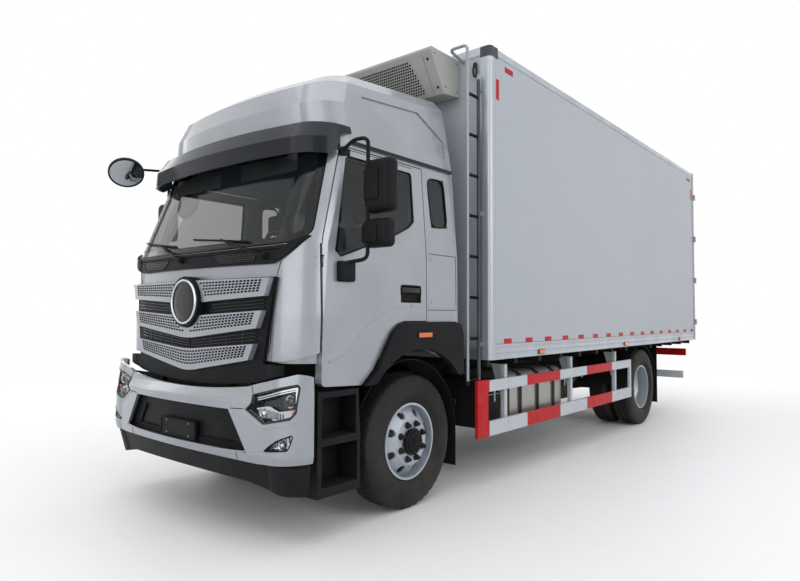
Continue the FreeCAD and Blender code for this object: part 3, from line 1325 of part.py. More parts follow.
# ---------------------------------------------------------------- nodes
def truck_nodes():
    """Every node by name, as a shape or a list of solids."""
    nodes = {
        "frame_rails": make_frame_rails(),
        "cross_members": make_cross_members(),
        "front_axle": make_front_axle(),
        "leaf_springs": make_leaf_springs(),
        "rear_axle": make_rear_axle(),
        "engine_block": make_engine_block(),
        "propshaft": make_propshaft(),
        "fuel_tank": make_fuel_tank(),
        "chassis_boxes": make_chassis_boxes(),
        "side_guards": make_side_guards(),
        "rear_underrun": make_rear_underrun(),
        "mudguards": make_mudguards(),
        "cab_steps": make_cab_steps(),
        "front_bumper": make_front_bumper(),
        "bumper_trim": make_bumper_trim(),
        "headlamps": make_headlamps(),
        "rear_lamps": make_rear_lamps(),
        "floor_bearers": make_floor_bearers(),
        "box_floor": make_box_floor(),
        "box_walls": make_box_walls(),
        "box_roof": make_box_roof(),
        "box_edge_rails": make_box_edge_rails(),
        "box_corners": make_box_corners(),
        "box_rear_frame": make_box_rear_frame(),
        "cooling_unit": make_cooling_unit(),
        "evaporator": make_evaporator(),
        "ladder": make_ladder(),
        "tie_rod": make_tie_rod(),
        "cab_shell": make_cab_shell(),
        "cab_roof": make_cab_roof(),
        "nose_trim": [make_grille_surround(), make_cowl()],
        "grille_bars": make_grille_bars(),
        "cab_glass": make_cab_glass(),
        "sun_visor": make_sun_visor(),
        "cab_flares": make_flares(),
        "dashboard": make_dashboard(),
        "seats": make_seats(),
        "steering_wheel": make_steering_wheel(),
        "front_mirror": make_front_mirror(),
    }
    for name, side in (("left", 1), ("right", -1)):
        nodes["knuckle_" + name] = make_knuckle(side)
        tyre, wheel = make_front_wheel(side)
        nodes["tyre_front_" + name] = tyre
        nodes["wheel_front_" + name] = wheel
        tyre, wheel = make_rear_wheel(side)
        nodes["tyre_rear_" + name] = tyre
        nodes["wheel_rear_" + name] = wheel
        nodes["cab_door_" + name] = make_door(side)
        nodes["door_window_" + name] = make_door_window(side)
        nodes["mirrors_" + name] = make_mirrors(side)
        nodes["box_door_" + name] = make_box_door(side)
        nodes["door_gear_" + name] = make_door_gear(side)
    return nodes


def write_nodes():
    """One STEP file per node, moved so that the origin is on the ground at mid length."""
    for name, shapes in truck_nodes().items():
        if not isinstance(shapes, list):
            shapes = [shapes]
        solids = [solid for shape in shapes for solid in shape.Solids]
        whole = solids[0] if len(solids) == 1 else Part.makeCompound(solids)
        whole.translate(V(0, -LENGTH / 2, 0))
        whole.exportStep("parts/" + name + ".step")


write_nodes()
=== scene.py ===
"""Looks for the refrigerated truck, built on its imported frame.

Metres: +X is the truck's left, it faces -Y. A station is a distance back from the front face.
"""

import json
import math
from contextlib import contextmanager

import bmesh
import bpy
from mathutils import Euler, Matrix, Vector


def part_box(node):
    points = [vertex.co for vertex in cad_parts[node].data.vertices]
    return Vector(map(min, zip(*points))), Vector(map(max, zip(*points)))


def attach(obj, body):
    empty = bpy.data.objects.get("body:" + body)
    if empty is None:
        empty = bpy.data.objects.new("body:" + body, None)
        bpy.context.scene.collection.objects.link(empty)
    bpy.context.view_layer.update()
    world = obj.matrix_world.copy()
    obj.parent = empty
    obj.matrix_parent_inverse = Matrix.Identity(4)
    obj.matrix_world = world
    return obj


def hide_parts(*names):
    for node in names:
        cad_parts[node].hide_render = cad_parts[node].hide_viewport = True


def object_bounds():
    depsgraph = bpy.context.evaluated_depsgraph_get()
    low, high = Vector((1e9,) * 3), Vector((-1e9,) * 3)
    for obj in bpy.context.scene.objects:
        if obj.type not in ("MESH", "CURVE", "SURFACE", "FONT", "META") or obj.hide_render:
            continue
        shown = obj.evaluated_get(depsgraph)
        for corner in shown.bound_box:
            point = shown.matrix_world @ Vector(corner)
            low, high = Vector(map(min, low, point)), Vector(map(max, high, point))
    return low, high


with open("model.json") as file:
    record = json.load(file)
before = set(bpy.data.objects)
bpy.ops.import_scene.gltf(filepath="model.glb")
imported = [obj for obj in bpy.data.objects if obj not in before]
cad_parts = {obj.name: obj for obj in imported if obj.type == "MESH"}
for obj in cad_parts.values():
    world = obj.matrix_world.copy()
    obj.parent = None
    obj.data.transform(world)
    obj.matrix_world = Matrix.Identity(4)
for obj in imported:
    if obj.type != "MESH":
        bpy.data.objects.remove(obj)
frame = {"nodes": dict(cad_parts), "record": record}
CAD_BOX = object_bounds()
NODES = frame["nodes"]
START = CAD_BOX[0].y
SIDES = (("left", 1), ("right", -1))

# ---------------------------------------------------------------- materials
ROAD_DUST = (0.30, 0.27, 0.23)


class Graph:
    """The node tree of a material or of the world; inputs are fed by name with values or sockets."""

    def __init__(self, owner):
        owner.use_nodes = True
        self.owner = owner
        self.nodes = owner.node_tree.nodes
        self.links = owner.node_tree.links

    def feed(self, node, inputs):
        for name, value in inputs.items():
            socket = node.inputs[name]
            if isinstance(value, bpy.types.NodeSocket):
                self.links.new(value, socket)
            else:
                socket.default_value = (*value, 1.0) if socket.type == "RGBA" else value

    def node(self, kind, inputs=(), **settings):
        node = self.nodes.new("ShaderNode" + kind)
        for name, value in settings.items():
            setattr(node, name, value)
        self.feed(node, dict(inputs))
        return node

    def place(self, stretch=(1, 1, 1)):
        """Object coordinates, stretched along the axes: the same scale on every piece."""
        coords = self.node("TexCoord").outputs["Object"]
        return self.node("Mapping", {"Vector": coords, "Scale": stretch}).outputs["Vector"]

    def along(self, axis, space="Object"):
        """One coordinate of the shaded point."""
        coords = self.node("TexCoord").outputs[space]
        return self.node("SeparateXYZ", {"Vector": coords}).outputs[axis]

    def noise(self, vector, scale, detail=4.0):
        inputs = {"Vector": vector, "Scale": scale, "Detail": detail, "Roughness": 0.55}
        return self.node("TexNoise", inputs).outputs["Fac"]

    def ramp(self, value, low, high, start=0.35, end=0.65):
        """Maps a value from start and end to low and high, clamped."""
        inputs = {"Value": value, "From Min": start, "From Max": end, "To Min": low, "To Max": high}
        return self.node("MapRange", inputs).outputs["Result"]

    def mixed(self, factor, first, second):
        """Mix of two colours by a value."""
        return self.node("Mix", {"Factor": factor, "A": first, "B": second}, data_type="RGBA").outputs["Result"]

    def joined(self, operation, first, second):
        """One value from two."""
        return self.node("Math", {0: first, 1: second}, operation=operation).outputs[0]

    def bands(self, value, stops, interpolation="LINEAR"):
        """Colours along a value; each stop is (position, colour)."""
        node = self.node("ValToRGB", {"Fac": value})
        node.color_ramp.interpolation = interpolation
        elements = node.color_ramp.elements
        for index, (position, tint) in enumerate(stops):
            element = elements[index] if index < 2 else elements.new(1.0)
            element.position = position
            element.color = (*tint, 1.0)
        return node.outputs["Color"]

    def bump(self, height, strength):
        return self.node("Bump", {"Height": height, "Strength": strength, "Distance": 0.001}).outputs["Normal"]

    def finish(self, inputs):
        """Feeds the Principled shader and gives back the material."""
        self.feed(self.nodes["Principled BSDF"], inputs)
        return self.owner

    def seen_rays(self):
        """1 for camera, glossy and transmission rays, 0 for the rest."""
        path = self.node("LightPath").outputs
        either = self.joined("MAXIMUM", path["Is Camera Ray"], path["Is Glossy Ray"])
        return self.joined("MAXIMUM", either, path["Is Transmission Ray"])

    def blend_out(self, factor, first, second, output):
        """Ends the tree in a mix of two shaders."""
        mix = self.node("MixShader", {"Fac": factor, 1: first, 2: second})
        self.links.new(mix.outputs["Shader"], self.nodes[output].inputs["Surface"])


def surface(
    name, colour, second, roughness=(0.3, 0.5), metallic=0.0, grain=60.0, bumpy=0.15, stretch=(1, 1, 1),
    coat=0.0, dust=0.0, spots=3.0, specular=0.5,
):
    """A finish whose colour wanders a little, with a grain in its roughness and bump, and road dust low down."""
    graph = Graph(bpy.data.materials.new(name))
    vector = graph.place(stretch)
    broad = graph.noise(vector, spots)
    fine = graph.noise(vector, grain, 3.0)
    tint = graph.mixed(graph.ramp(broad, 0.0, 1.0), colour, second)
    if dust:
        low = graph.ramp(graph.along("Z"), dust, 0.0, 0.25, 1.1)
        tint = graph.mixed(graph.joined("MULTIPLY", low, graph.ramp(broad, 0.4, 1.0)), tint, ROAD_DUST)
    inputs = {
        "Base Color": tint, "Roughness": graph.ramp(fine, *roughness), "Metallic": metallic,
        "Specular IOR Level": specular, "Coat Weight": coat, "Coat Roughness": 0.06,
    }
    if bumpy:
        inputs["Normal"] = graph.bump(fine, bumpy)
    return graph.finish(inputs)


def clear(name, tint, alpha, specular):
    """Thin glass: mostly see-through with a bright reflection."""
    graph = Graph(bpy.data.materials.new(name))
    streaks = graph.noise(graph.place(), 4.0)
    return graph.finish({
        "Base Color": graph.mixed(streaks, tint, tuple(c * 0.8 for c in tint)), "Alpha": alpha,
        "Roughness": graph.ramp(streaks, 0.02, 0.05), "Specular IOR Level": specular,
    })


def striped(name, stops):
    """Paint in bands along the truck; each stop is (y, colour) and holds up to the next one."""
    graph = Graph(bpy.data.materials.new(name))
    low, high = START, CAD_BOX[1].y
    where = graph.ramp(graph.along("Y"), 0.0, 1.0, low, high)
    paint = graph.bands(where, [((y - low) / (high - low), tint) for y, tint in stops], "CONSTANT")
    vector = graph.place()
    grime = graph.ramp(graph.noise(vector, 9.0), 0.0, 0.06)
    fine = graph.noise(vector, 90.0, 3.0)
    return graph.finish({
        "Base Color": graph.mixed(grime, paint, ROAD_DUST), "Roughness": graph.ramp(fine, 0.25, 0.40),
        "Normal": graph.bump(fine, 0.04), "Specular IOR Level": 0.1,
    })


SILVER = surface("silver_paint", (0.31, 0.33, 0.36), (0.272, 0.29, 0.32), (0.26, 0.36), 0.5, 900, 0.03,
                 coat=0.6, dust=0.05)
BOX_WHITE = surface("box_white", (0.362, 0.386, 0.422), (0.35, 0.374, 0.41), (0.36, 0.46), 0, 35, 0.02, spots=1.2)
ALUMINIUM = surface("rail_aluminium", (0.44, 0.47, 0.51), (0.37, 0.395, 0.43), (0.32, 0.44), 0.6, 240, 0.06,
                    stretch=(1, 1, 0.12))
BLACK = surface("black_plastic", (0.006, 0.0065, 0.0075), (0.01, 0.0105, 0.0115), (0.4, 0.55), 0, 700, 0.2,
                dust=0.02, specular=0.09)
FRAME_BLACK = surface("frame_black", (0.006, 0.006, 0.006), (0.013, 0.012, 0.011), (0.5, 0.7), 0, 90, 0.2,
                      dust=0.05, specular=0.15)
VISOR = surface("visor_smoke", (0.0045, 0.0065, 0.011), (0.008, 0.011, 0.017), (0.16, 0.24), 0, 60, 0, specular=0.22)
LADDER = surface("ladder_alloy", (0.3, 0.32, 0.35), (0.24, 0.26, 0.29), (0.35, 0.48), 0.4, 240, 0.06,
                 stretch=(1, 1, 0.12))
CREAM = surface("unit_cream", (0.35, 0.355, 0.335), (0.31, 0.315, 0.298), (0.35, 0.46), 0, 120, 0.04)
RUBBER = surface("tyre_rubber", (0.009, 0.009, 0.009), (0.017, 0.016, 0.015), (0.55, 0.75), 0, 160, 0.3,
                 dust=0.07, specular=0.18)
WHEEL_SILVER = surface("wheel_silver", (0.4, 0.44, 0.49), (0.34, 0.37, 0.41), (0.3, 0.42), 0.4, 200, 0.05,
                       dust=0.1, spots=9.0)
CAST = surface("cast_dark", (0.01, 0.01, 0.0105), (0.022, 0.019, 0.016), (0.5, 0.7), 0.1, 140, 0.3,
               dust=0.05, specular=0.25)
STEEL = surface("steel", (0.3, 0.3, 0.31), (0.22, 0.22, 0.21), (0.3, 0.45), 0.8, 180, 0.06)
TANK = surface("tank_aluminium", (0.4, 0.39, 0.37), (0.33, 0.32, 0.3), (0.28, 0.38), 0.7, 60, 0.015,
               stretch=(1, 0.15, 1), dust=0.05)
CORNER = surface("corner_dark", (0.04, 0.045, 0.054), (0.064, 0.07, 0.08), (0.4, 0.55), 0.1, 150, 0.2, specular=0.3)
FABRIC = surface("seat_fabric", (0.085, 0.085, 0.092), (0.12, 0.12, 0.13), (0.8, 0.95), 0, 1400, 0.6)
INTERIOR = surface("interior_dark", (0.05, 0.052, 0.056), (0.075, 0.076, 0.08), (0.55, 0.7), 0, 500, 0.3)
GLASS = clear("glass", (0.008, 0.014, 0.016), 0.32, 0.7)
LAMP_CLEAR = clear("lamp_clear", (0.16, 0.18, 0.20), 0.07, 0.35)
LAMP_RED = surface("lamp_red", (0.42, 0.006, 0.008), (0.3, 0.005, 0.007), (0.08, 0.14), 0, 300, 0.1, coat=1.0)
AMBER = surface("lamp_amber", (0.75, 0.16, 0.008), (0.6, 0.11, 0.006), (0.1, 0.18), 0, 300, 0.1, coat=0.6)
CHROME = surface("chrome", (0.6, 0.62, 0.64), (0.5, 0.52, 0.55), (0.06, 0.13), 1.0, 90, 0.02)
GLOSS_BLACK = surface("gloss_black", (0.004, 0.004, 0.005), (0.007, 0.007, 0.008), (0.1, 0.18), 0, 90, 0,
                      coat=0.25, specular=0.25)
HOLE_DARK = surface("hole_dark", (0.003, 0.003, 0.0035), (0.006, 0.006, 0.006), (0.7, 0.85), 0, 300, 0.1,
                    specular=0.05)
LAMP_BRIGHT = surface("lamp_bright", (0.62, 0.65, 0.68), (0.5, 0.53, 0.56), (0.06, 0.12), 0.7, 150, 0.05, coat=0.5)
LENS_DARK = surface("lens_dark", (0.012, 0.014, 0.018), (0.022, 0.024, 0.028), (0.03, 0.08), 0, 200, 0.02, coat=0.8)
MIRROR = surface("mirror_glass", (0.4, 0.42, 0.44), (0.34, 0.36, 0.38), (0.015, 0.04), 1.0, 40, 0.01)
REFLECTIVE_RED = surface("reflective_red", (0.45, 0.008, 0.012), (0.34, 0.006, 0.009), (0.3, 0.45), 0, 600, 0.4,
                         specular=0.15)
PIPING = surface("piping", (0.03, 0.03, 0.033), (0.05, 0.05, 0.054), (0.5, 0.65), 0, 900, 0.4)
GUARD_WHITE, GUARD_RED = (0.46, 0.49, 0.52), (0.42, 0.008, 0.012)
GUARD = striped("guard_stripes", [(-3.0, GUARD_RED), (-2.165, GUARD_WHITE), (-1.446, GUARD_RED),
                                  (-0.712, GUARD_WHITE), (-0.004, GUARD_RED), (0.756, GUARD_WHITE)])

BY_SLOT = {
    "silver_paint": SILVER, "box_white": BOX_WHITE, "rail_aluminium": ALUMINIUM, "black_plastic": BLACK,
    "unit_cream": CREAM, "guard_paint": GUARD, "tyre": RUBBER, "wheel_silver": WHEEL_SILVER,
    "glass": GLASS, "lamp_clear": LAMP_CLEAR, "lamp_red": LAMP_RED, "seat_fabric": FABRIC,
    "interior_dark": INTERIOR, "frame_black": FRAME_BLACK, "cast_dark": CAST, "steel": STEEL,
    "tank_aluminium": TANK, "corner_dark": CORNER,
}

# ---------------------------------------------------------------- making pieces


def at(x, station, z):
    """A point whose depth is given as a station."""
    return Vector((x, START + station, z))


def set_material(obj, material):
    obj.data.materials.clear()
    obj.data.materials.append(material)


def on_body(name, data, material, body):
    """A named object that rides on a body."""
    obj = bpy.data.objects.new(name, data)
    bpy.context.collection.objects.link(obj)
    set_material(obj, material)
    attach(obj, body)
    return obj


def add(name, bm, material, body="chassis", smooth=False):
    """A piece of the truck from a bmesh, which is used up."""
    mesh = bpy.data.meshes.new("mesh")
    bmesh.ops.recalc_face_normals(bm, faces=bm.faces)
    bm.to_mesh(mesh)
    bm.free()
    if smooth:
        for polygon in mesh.polygons:
            polygon.use_smooth = True
        mesh.set_sharp_from_angle(angle=math.radians(35))
    return on_body(name, mesh, material, body)


@contextmanager
def piece(name, material, body="chassis", slot=None, smooth=False):
    """A piece of the truck from what its block draws."""
    bm = bmesh.new()
    yield bm
    add(name, bm, material, body, smooth)


def tube(name, points, radius, material, body="chassis", closed=False, smooth=True):
    """A round bar, hose or seal along points; points that found no surface are None and left out."""
    points = [point for point in points if point]
    curve = bpy.data.curves.new(name, "CURVE")
    curve.dimensions = "3D"
    curve.bevel_depth = radius
    curve.bevel_resolution = 3
    curve.use_fill_caps = True
    spline = curve.splines.new("NURBS" if smooth else "POLY")
    spline.points.add(len(points) - 1)
    for point, spot in zip(spline.points, points):
        point.co = (*spot, 1.0)
    spline.use_cyclic_u = closed
    if smooth:
        spline.order_u = 3
        spline.use_endpoint_u = not closed
    return on_body(name, curve, material, body)


def add_block(bm, one, other, bevel=0.0, segments=2):
    """A box with rounded edges between two opposite corners."""
    low, high = (Vector([pick(pair) for pair in zip(one, other)]) for pick in (min, max))
    size = high - low
    made = bmesh.ops.create_cube(bm, size=1.0)["verts"]
    bmesh.ops.scale(bm, vec=size, verts=made)
    bmesh.ops.translate(bm, vec=(low + high) / 2, verts=made)
    if bevel:
        edges = {edge for vert in made for edge in vert.link_edges}
        bmesh.ops.bevel(bm, geom=list(edges), offset=min(bevel, min(size) * 0.45), segments=segments,
                        profile=0.6, affect="EDGES")


def skin(bm, rings, caps=False, loop=False):
    """Quads between closed rings of points, with the ends capped or the last ring joined to the first."""
    made = [[bm.verts.new(point) if point else None for point in ring] for ring in rings]
    for first, second in zip(made, made[1:] + (made[:1] if loop else [])):
        for index in range(len(first)):
            after = (index + 1) % len(first)
            quad = (first[index], first[after], second[after], second[index])
            if None not in quad:
                bm.faces.new(quad)
    if caps:
        bm.faces.new(made[0][::-1])
        bm.faces.new(made[-1])
    return made


def circle(count, radius=1.0, turn=0.0):
    """Points (u, v) evenly round a circle."""
    angles = [turn + 2 * math.pi * step / count for step in range(count)]
    return [(radius * math.cos(angle), radius * math.sin(angle)) for angle in angles]


def add_lathe(bm, rows, centre, steps, side=1, ripple=None):
    """Turns rows of (offset along X, radius) round the X axis; side -1 mirrors them."""
    rings = []
    for row, (offset, radius) in enumerate(rows):
        ring = []
        for step, (c, s) in enumerate(circle(steps)):
            r = radius + (ripple(row, step) if ripple else 0.0)
            ring.append((centre[0] + side * offset, centre[1] + r * c, centre[2] + r * s))
        rings.append(ring)
    skin(bm, rings)


def aim(bm, way, spot):
    """Turns what was drawn along +X at the origin to another way, and moves it to its place."""
    turn = Vector((1, 0, 0)).rotation_difference(Vector(way)).to_matrix()
    bmesh.ops.rotate(bm, verts=bm.verts[:], matrix=turn)
    bmesh.ops.translate(bm, verts=bm.verts[:], vec=spot)


def add_prism(bm, centre, axis, radius, depth, corners, turn=0.0, taper=1.0):
    """A closed prism or cone whose outline has that many corners, from centre along an axis."""
    axis = Vector(axis).normalized()
    across = axis.orthogonal().normalized()
    other = axis.cross(across)
    skin(bm, [[Vector(centre) + axis * end + (across * c + other * s) * radius * scale
               for c, s in circle(corners, 1.0, turn)] for end, scale in ((0.0, 1.0), (depth, taper))], caps=True)


def blocks(name, material, rows, bevel, body="chassis", slot=None, smooth=False, segments=2):
    """A piece of like blocks; a row is two values each of x, station and z."""
    with piece(name, material, body, slot, smooth) as bm:
        for x0, x1, y0, y1, z0, z1 in rows:
            add_block(bm, at(x0, y0, z0), at(x1, y1, z1), bevel, segments)


def studs(name, material, spots, way, radius, depth, corners, taper=1.0, body="chassis", slot=None, smooth=False):
    """A piece of like bolts, screws or rivets; a spot that found no surface is None and left out."""
    with piece(name, material, body, slot, smooth) as bm:
        for spot in filter(None, spots):
            add_prism(bm, spot, way, radius, depth, corners, taper=taper)


def on_node(node, point, way):
    """First hit on a CAD node from a point along a direction, and the surface normal there."""
    hit, spot, normal, _ = NODES[node].ray_cast(Vector(point), Vector(way))
    return (spot, normal) if hit else (None, None)


def front_spot(node, x, z, lift=0.0):
    """Point of a node seen from the front at (x, z), lifted towards the viewer."""
    spot, normal = on_node(node, at(x, -1, z), (0, 1, 0))
    return spot and spot + normal * lift


def seen_from(side):
    """The same as front_spot for one side of the truck, at (station, z)."""
    def side_spot(node, station, z, lift=0.0):
        spot, normal = on_node(node, at(side * 3.0, station, z), (-side, 0, 0))
        return spot and spot + normal * lift

    return side_spot


def between(start, end, count):
    """Evenly spread points from start to end, both included."""
    return [tuple(a + (b - a) * i / (count - 1) for a, b in zip(start, end)) for i in range(count)]


def smooth_path(points, count):
    """Evenly spread points along a Catmull-Rom curve."""
    out = []
    spots = [Vector(p) for p in (points[0], *points, points[-1])]
    for p0, p1, p2, p3 in zip(spots, spots[1:], spots[2:], spots[3:]):
        for step in range(count):
            t = step / count
            out.append(tuple(0.5 * ((2 * p1) + (p2 - p0) * t + (2 * p0 - 5 * p1 + 4 * p2 - p3) * t * t
                                    + (3 * p1 - p0 - 3 * p2 + p3) * t ** 3)))
    return out + [tuple(points[-1])]


def walk(outline, step):
    """Points along a closed outline, no further apart than step, corners kept."""
    points = []
    for (u0, v0), (u1, v1) in zip(outline, outline[1:] + outline[:1]):
        count = max(1, round(math.hypot(u1 - u0, v1 - v0) / step))
        points += between((u0, v0), (u1, v1), count + 1)[:-1]
    return points


def corner_arc(before, here, after, reach, parts):
    """A curve that cuts a corner, starting and ending at a distance from it."""
    start = here + (before - here).normalized() * reach
    end = here + (after - here).normalized() * reach
    return [start * (1 - t) ** 2 + here * 2 * t * (1 - t) + end * t * t for t in (k / parts for k in range(parts + 1))]


def rounded_outline(outline, radius, parts=4):
    """Outline with its corners replaced by arcs."""
    spots = [Vector(corner) for corner in outline]
    points = []
    for before, here, after in zip(spots[-1:] + spots, spots, spots[1:] + spots[:1]):
        reach = min(radius, (before - here).length * 0.45, (after - here).length * 0.45)
        points += [tuple(point) for point in corner_arc(before, here, after, reach, parts)]
    return points


def shrunk(outline, by):
    """Outline moved inward by a distance, corner by corner."""
    area = sum(a[0] * b[1] - b[0] * a[1] for a, b in zip(outline, outline[1:] + outline[:1]))
    sign = 1 if area > 0 else -1
    spots = [Vector(corner) for corner in outline]
    moved = []
    for before, here, after in zip(spots[-1:] + spots, spots, spots[1:] + spots[:1]):
        normals = [Vector((-d.y, d.x)) * sign for d in ((here - before).normalized(), (after - here).normalized())]
        middle = (normals[0] + normals[1]).normalized()
        moved.append(tuple(here + middle * by / max(0.4, middle.dot(normals[0]))))
    return moved


def rectangle(u0, u1, v0, v1):
    """Corners of a rectangle, in order round it."""
    return [(u0, v0), (u1, v0), (u1, v1), (u0, v1)]


def band(name, node, outline, width, spot, body, step=0.05):
    """A flat gloss black border that follows a node's surface, from an outline inward."""
    inner = shrunk(outline, width)
    rings = [[], []]
    for index, (start, inner_start) in enumerate(zip(outline, inner)):
        after = (index + 1) % len(outline)
        count = max(1, round(math.dist(start, outline[after]) / step))
        for ring, ends in zip(rings, ((start, outline[after]), (inner_start, inner[after]))):
            ring += [spot(node, u, v, 0.0012) for u, v in between(*ends, count + 1)[:-1]]
    with piece(name, GLOSS_BLACK, body, smooth=True) as bm:
        skin(bm, rings)


def sheet(name, node, outline, lift, material, body, back=0.0, step=0.04):
    """A skin that follows a node's front inside an outline, moved straight back by a distance."""
    with piece(name, material, body, smooth=True) as bm:
        bm.faces.new([bm.verts.new((u, v, 0)) for u, v in outline])
        for axis, normal in enumerate(((1, 0, 0), (0, 1, 0))):
            where = min(p[axis] for p in outline) + step
            while where < max(p[axis] for p in outline):
                bmesh.ops.bisect_plane(bm, geom=bm.verts[:] + bm.edges[:] + bm.faces[:],
                                       plane_co=Vector(normal) * where, plane_no=normal)
                where += step
        lost = []
        for vert in bm.verts:
            hit = front_spot(node, vert.co.x, vert.co.y, lift)
            if hit:
                vert.co = hit + Vector((0, back, 0))
            else:
                lost.append(vert)
        bmesh.ops.delete(bm, geom=lost, context="VERTS")


def follow(name, node, spots, radius, material, body, lift=0.0, spot=front_spot):
    """A bead or seam line along a node's surface."""
    tube(name, [spot(node, u, v, lift) for u, v in spots], radius, material, body)


def seal(name, node, outline, radius, material, body, lift, step=0.06, spot=front_spot):
    """A closed bead along an outline on a node's surface."""
    tube(name, [spot(node, u, v, lift) for u, v in walk(outline, step)], radius, material, body, closed=True)


def add_slot(bm, spot, across, up, half, height, steps=6):
    """A flat slot with round ends."""
    ring = []
    for end in (1, -1):
        for step in range(steps + 1):
            angle = math.pi * (step / steps - 0.5)
            u = end * (half - height + height * math.cos(angle))
            ring.append(bm.verts.new(spot + across * u + up * end * height * math.sin(angle)))
    bm.faces.new(ring)


def tangents(node, x, z, lift, spot):
    """Unit vectors across and up a surface seen from the front."""
    ways = []
    for dx, dz in ((0.008, 0), (0, 0.008)):
        way = (front_spot(node, x + dx, z + dz, lift) or spot) - spot
        ways.append(way.normalized() if way.length else Vector((dx, 0, dz)).normalized())
    return ways


def slot_row(bm, node, places, lift, half, height, steps):
    """Slots that lie on a node's front at (x, z) places."""
    for x, z in places:
        spot = front_spot(node, x, z, lift)
        if spot:
            add_slot(bm, spot, *tangents(node, x, z, lift, spot), half, height, steps)


for part in frame["record"]["subparts"]:
    set_material(NODES[part["node"]], BY_SLOT[part["material_slot"]])
set_material(NODES["sun_visor"], VISOR)
set_material(NODES["ladder"], LADDER)

# ---------------------------------------------------------------- wheels and tyres
TYRE_LOW, TYRE_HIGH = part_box("tyre_front_left")
TYRE_R = (TYRE_HIGH.z - TYRE_LOW.z) / 2
TYRE_HALF = (TYRE_HIGH.x - TYRE_LOW.x) / 2
RIM_R = 0.300
# Half of the tyre's section: share of the half width, share of the height from the rim to the tread.
TYRE_SECTION = [
    (0.66, 0.0), (0.74, 0.03), (0.80, 0.09), (0.91, 0.22), (0.97, 0.26), (0.985, 0.34), (1.0, 0.46), (0.995, 0.56),
    (0.965, 0.68), (0.955, 0.71), (0.915, 0.80), (0.90, 0.82), (0.86, 0.90), (0.80, 0.965), (0.765, 0.986),
]
TREAD_GROOVES = (0.50, 0.17)
GROOVE_DEPTH = 0.014
TREAD_STEPS = 168
NOTCH_DEPTH = 0.009
BOLTS = 8
BOLT_CIRCLE = 0.1425
HUB_R = 0.099


def tyre_rows():
    """Section of the tyre from one bead to the other, grooves included."""
    half = [(TYRE_HALF * u, RIM_R + (TYRE_R - RIM_R) * v) for u, v in TYRE_SECTION]
    for share in TREAD_GROOVES:
        middle = TYRE_HALF * TYRE_SECTION[-1][0] * share
        crown = TYRE_R - 0.002 * share
        for offset, depth in ((0.007, 0), (0.005, GROOVE_DEPTH), (-0.005, GROOVE_DEPTH), (-0.007, 0)):
            half.append((middle + offset, crown - depth))
    return half + [(-u, r) for u, r in reversed(half)]


def make_tyres(name, centres, body):
    """Tyres of one wheel: shaped side walls, four grooves and notched shoulders."""
    rows = tyre_rows()
    shoulder = {index for index, (u, r) in enumerate(rows) if abs(abs(u) - TYRE_HALF * 0.78) < 0.004}

    def notches(row, step):
        return -NOTCH_DEPTH if row in shoulder and step % 4 == 0 else 0.0

    bm = bmesh.new()
    for centre in centres:
        add_lathe(bm, rows, centre, TREAD_STEPS, 1, notches)
    tyre = add("tread_" + name, bm, RUBBER, body, smooth=True)
    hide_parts("tyre_" + name)


def make_wheel_fittings(name, side, centre, face, cap, body):
    """Wheel nuts with washers and studs on a ring, and the hub cap with its bolts."""
    way = Vector((side, 0, 0))
    with piece("wheel_nuts_" + name, CAST, body, "cast_dark") as bm:
        for index, (c, s) in enumerate(circle(BOLTS, BOLT_CIRCLE, math.pi / BOLTS)):
            spot = Vector((face, centre.y + c, centre.z + s))
            turn = 2 * math.pi * (index + 0.5) / BOLTS
            add_prism(bm, spot, way, 0.027, 0.006, 20)
            add_prism(bm, spot + way * 0.006, way, 0.0205, 0.024, 6, turn, 0.94)
            add_prism(bm, spot + way * 0.030, way, 0.0105, 0.016, 12, taper=0.8)
    with piece("hub_cap_" + name, BLACK, body, "cast_dark", smooth=True) as bm:
        rows = [(0.0, HUB_R), (0.006, HUB_R + 0.003), (cap * 0.55, HUB_R + 0.002), (cap * 0.62, HUB_R * 0.86),
                (cap * 0.95, HUB_R * 0.78), (cap, HUB_R * 0.72), (cap, HUB_R * 0.34), (cap + 0.006, HUB_R * 0.32),
                (cap + 0.008, 0.001)]
        add_lathe(bm, rows, (face, centre.y, centre.z), 48, side)
        for c, s in circle(BOLTS, HUB_R * 0.56):
            add_prism(bm, (face + side * cap, centre.y + c, centre.z + s), way, 0.008, 0.006, 6)


def make_all_wheels():
    for name, side in SIDES:
        low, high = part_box("tyre_front_" + name)
        centre = (low + high) / 2
        make_tyres("front_" + name, [centre], "wheel_front_" + name)
        reach = max(side * v.co.x for v in NODES["wheel_front_" + name].data.vertices)
        make_wheel_fittings("front_" + name, side, centre, side * (reach - 0.044), 0.052, "wheel_front_" + name)
        low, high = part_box("tyre_rear_" + name)
        middle = (low + high) / 2
        offset = Vector(((high.x - low.x) / 2 - TYRE_HALF, 0, 0))
        make_tyres("rear_" + name, [middle - offset, middle + offset], "wheel_rear_" + name)
        face = on_node("wheel_rear_" + name, (side * 2, middle.y + BOLT_CIRCLE, middle.z), (-side, 0, 0))[0].x
        make_wheel_fittings("rear_" + name, side, middle, face, 0.118, "wheel_rear_" + name)


# ---------------------------------------------------------------- nose
BADGE_Z = 1.612
BADGE_R = 0.190
VERTEX = 0.110
# Bars: half width and end height of the top edge, its middle, then the same of the lower edge.
BARS = [
    (0.910, 1.766, 1.768, 0.868, 1.644, 1.600),
    (0.850, 1.546, 1.506, 0.800, 1.426, 1.344),
    (0.776, 1.320, 1.264, 0.722, 1.208, 1.104),
]
HOLE_ROWS = 5
HOLE_PITCH = 0.037
HOLE_LIFT = 0.0007
SLATS = 3
UPRIGHTS = (-0.62, -0.44, -0.27, 0.27, 0.44, 0.62)


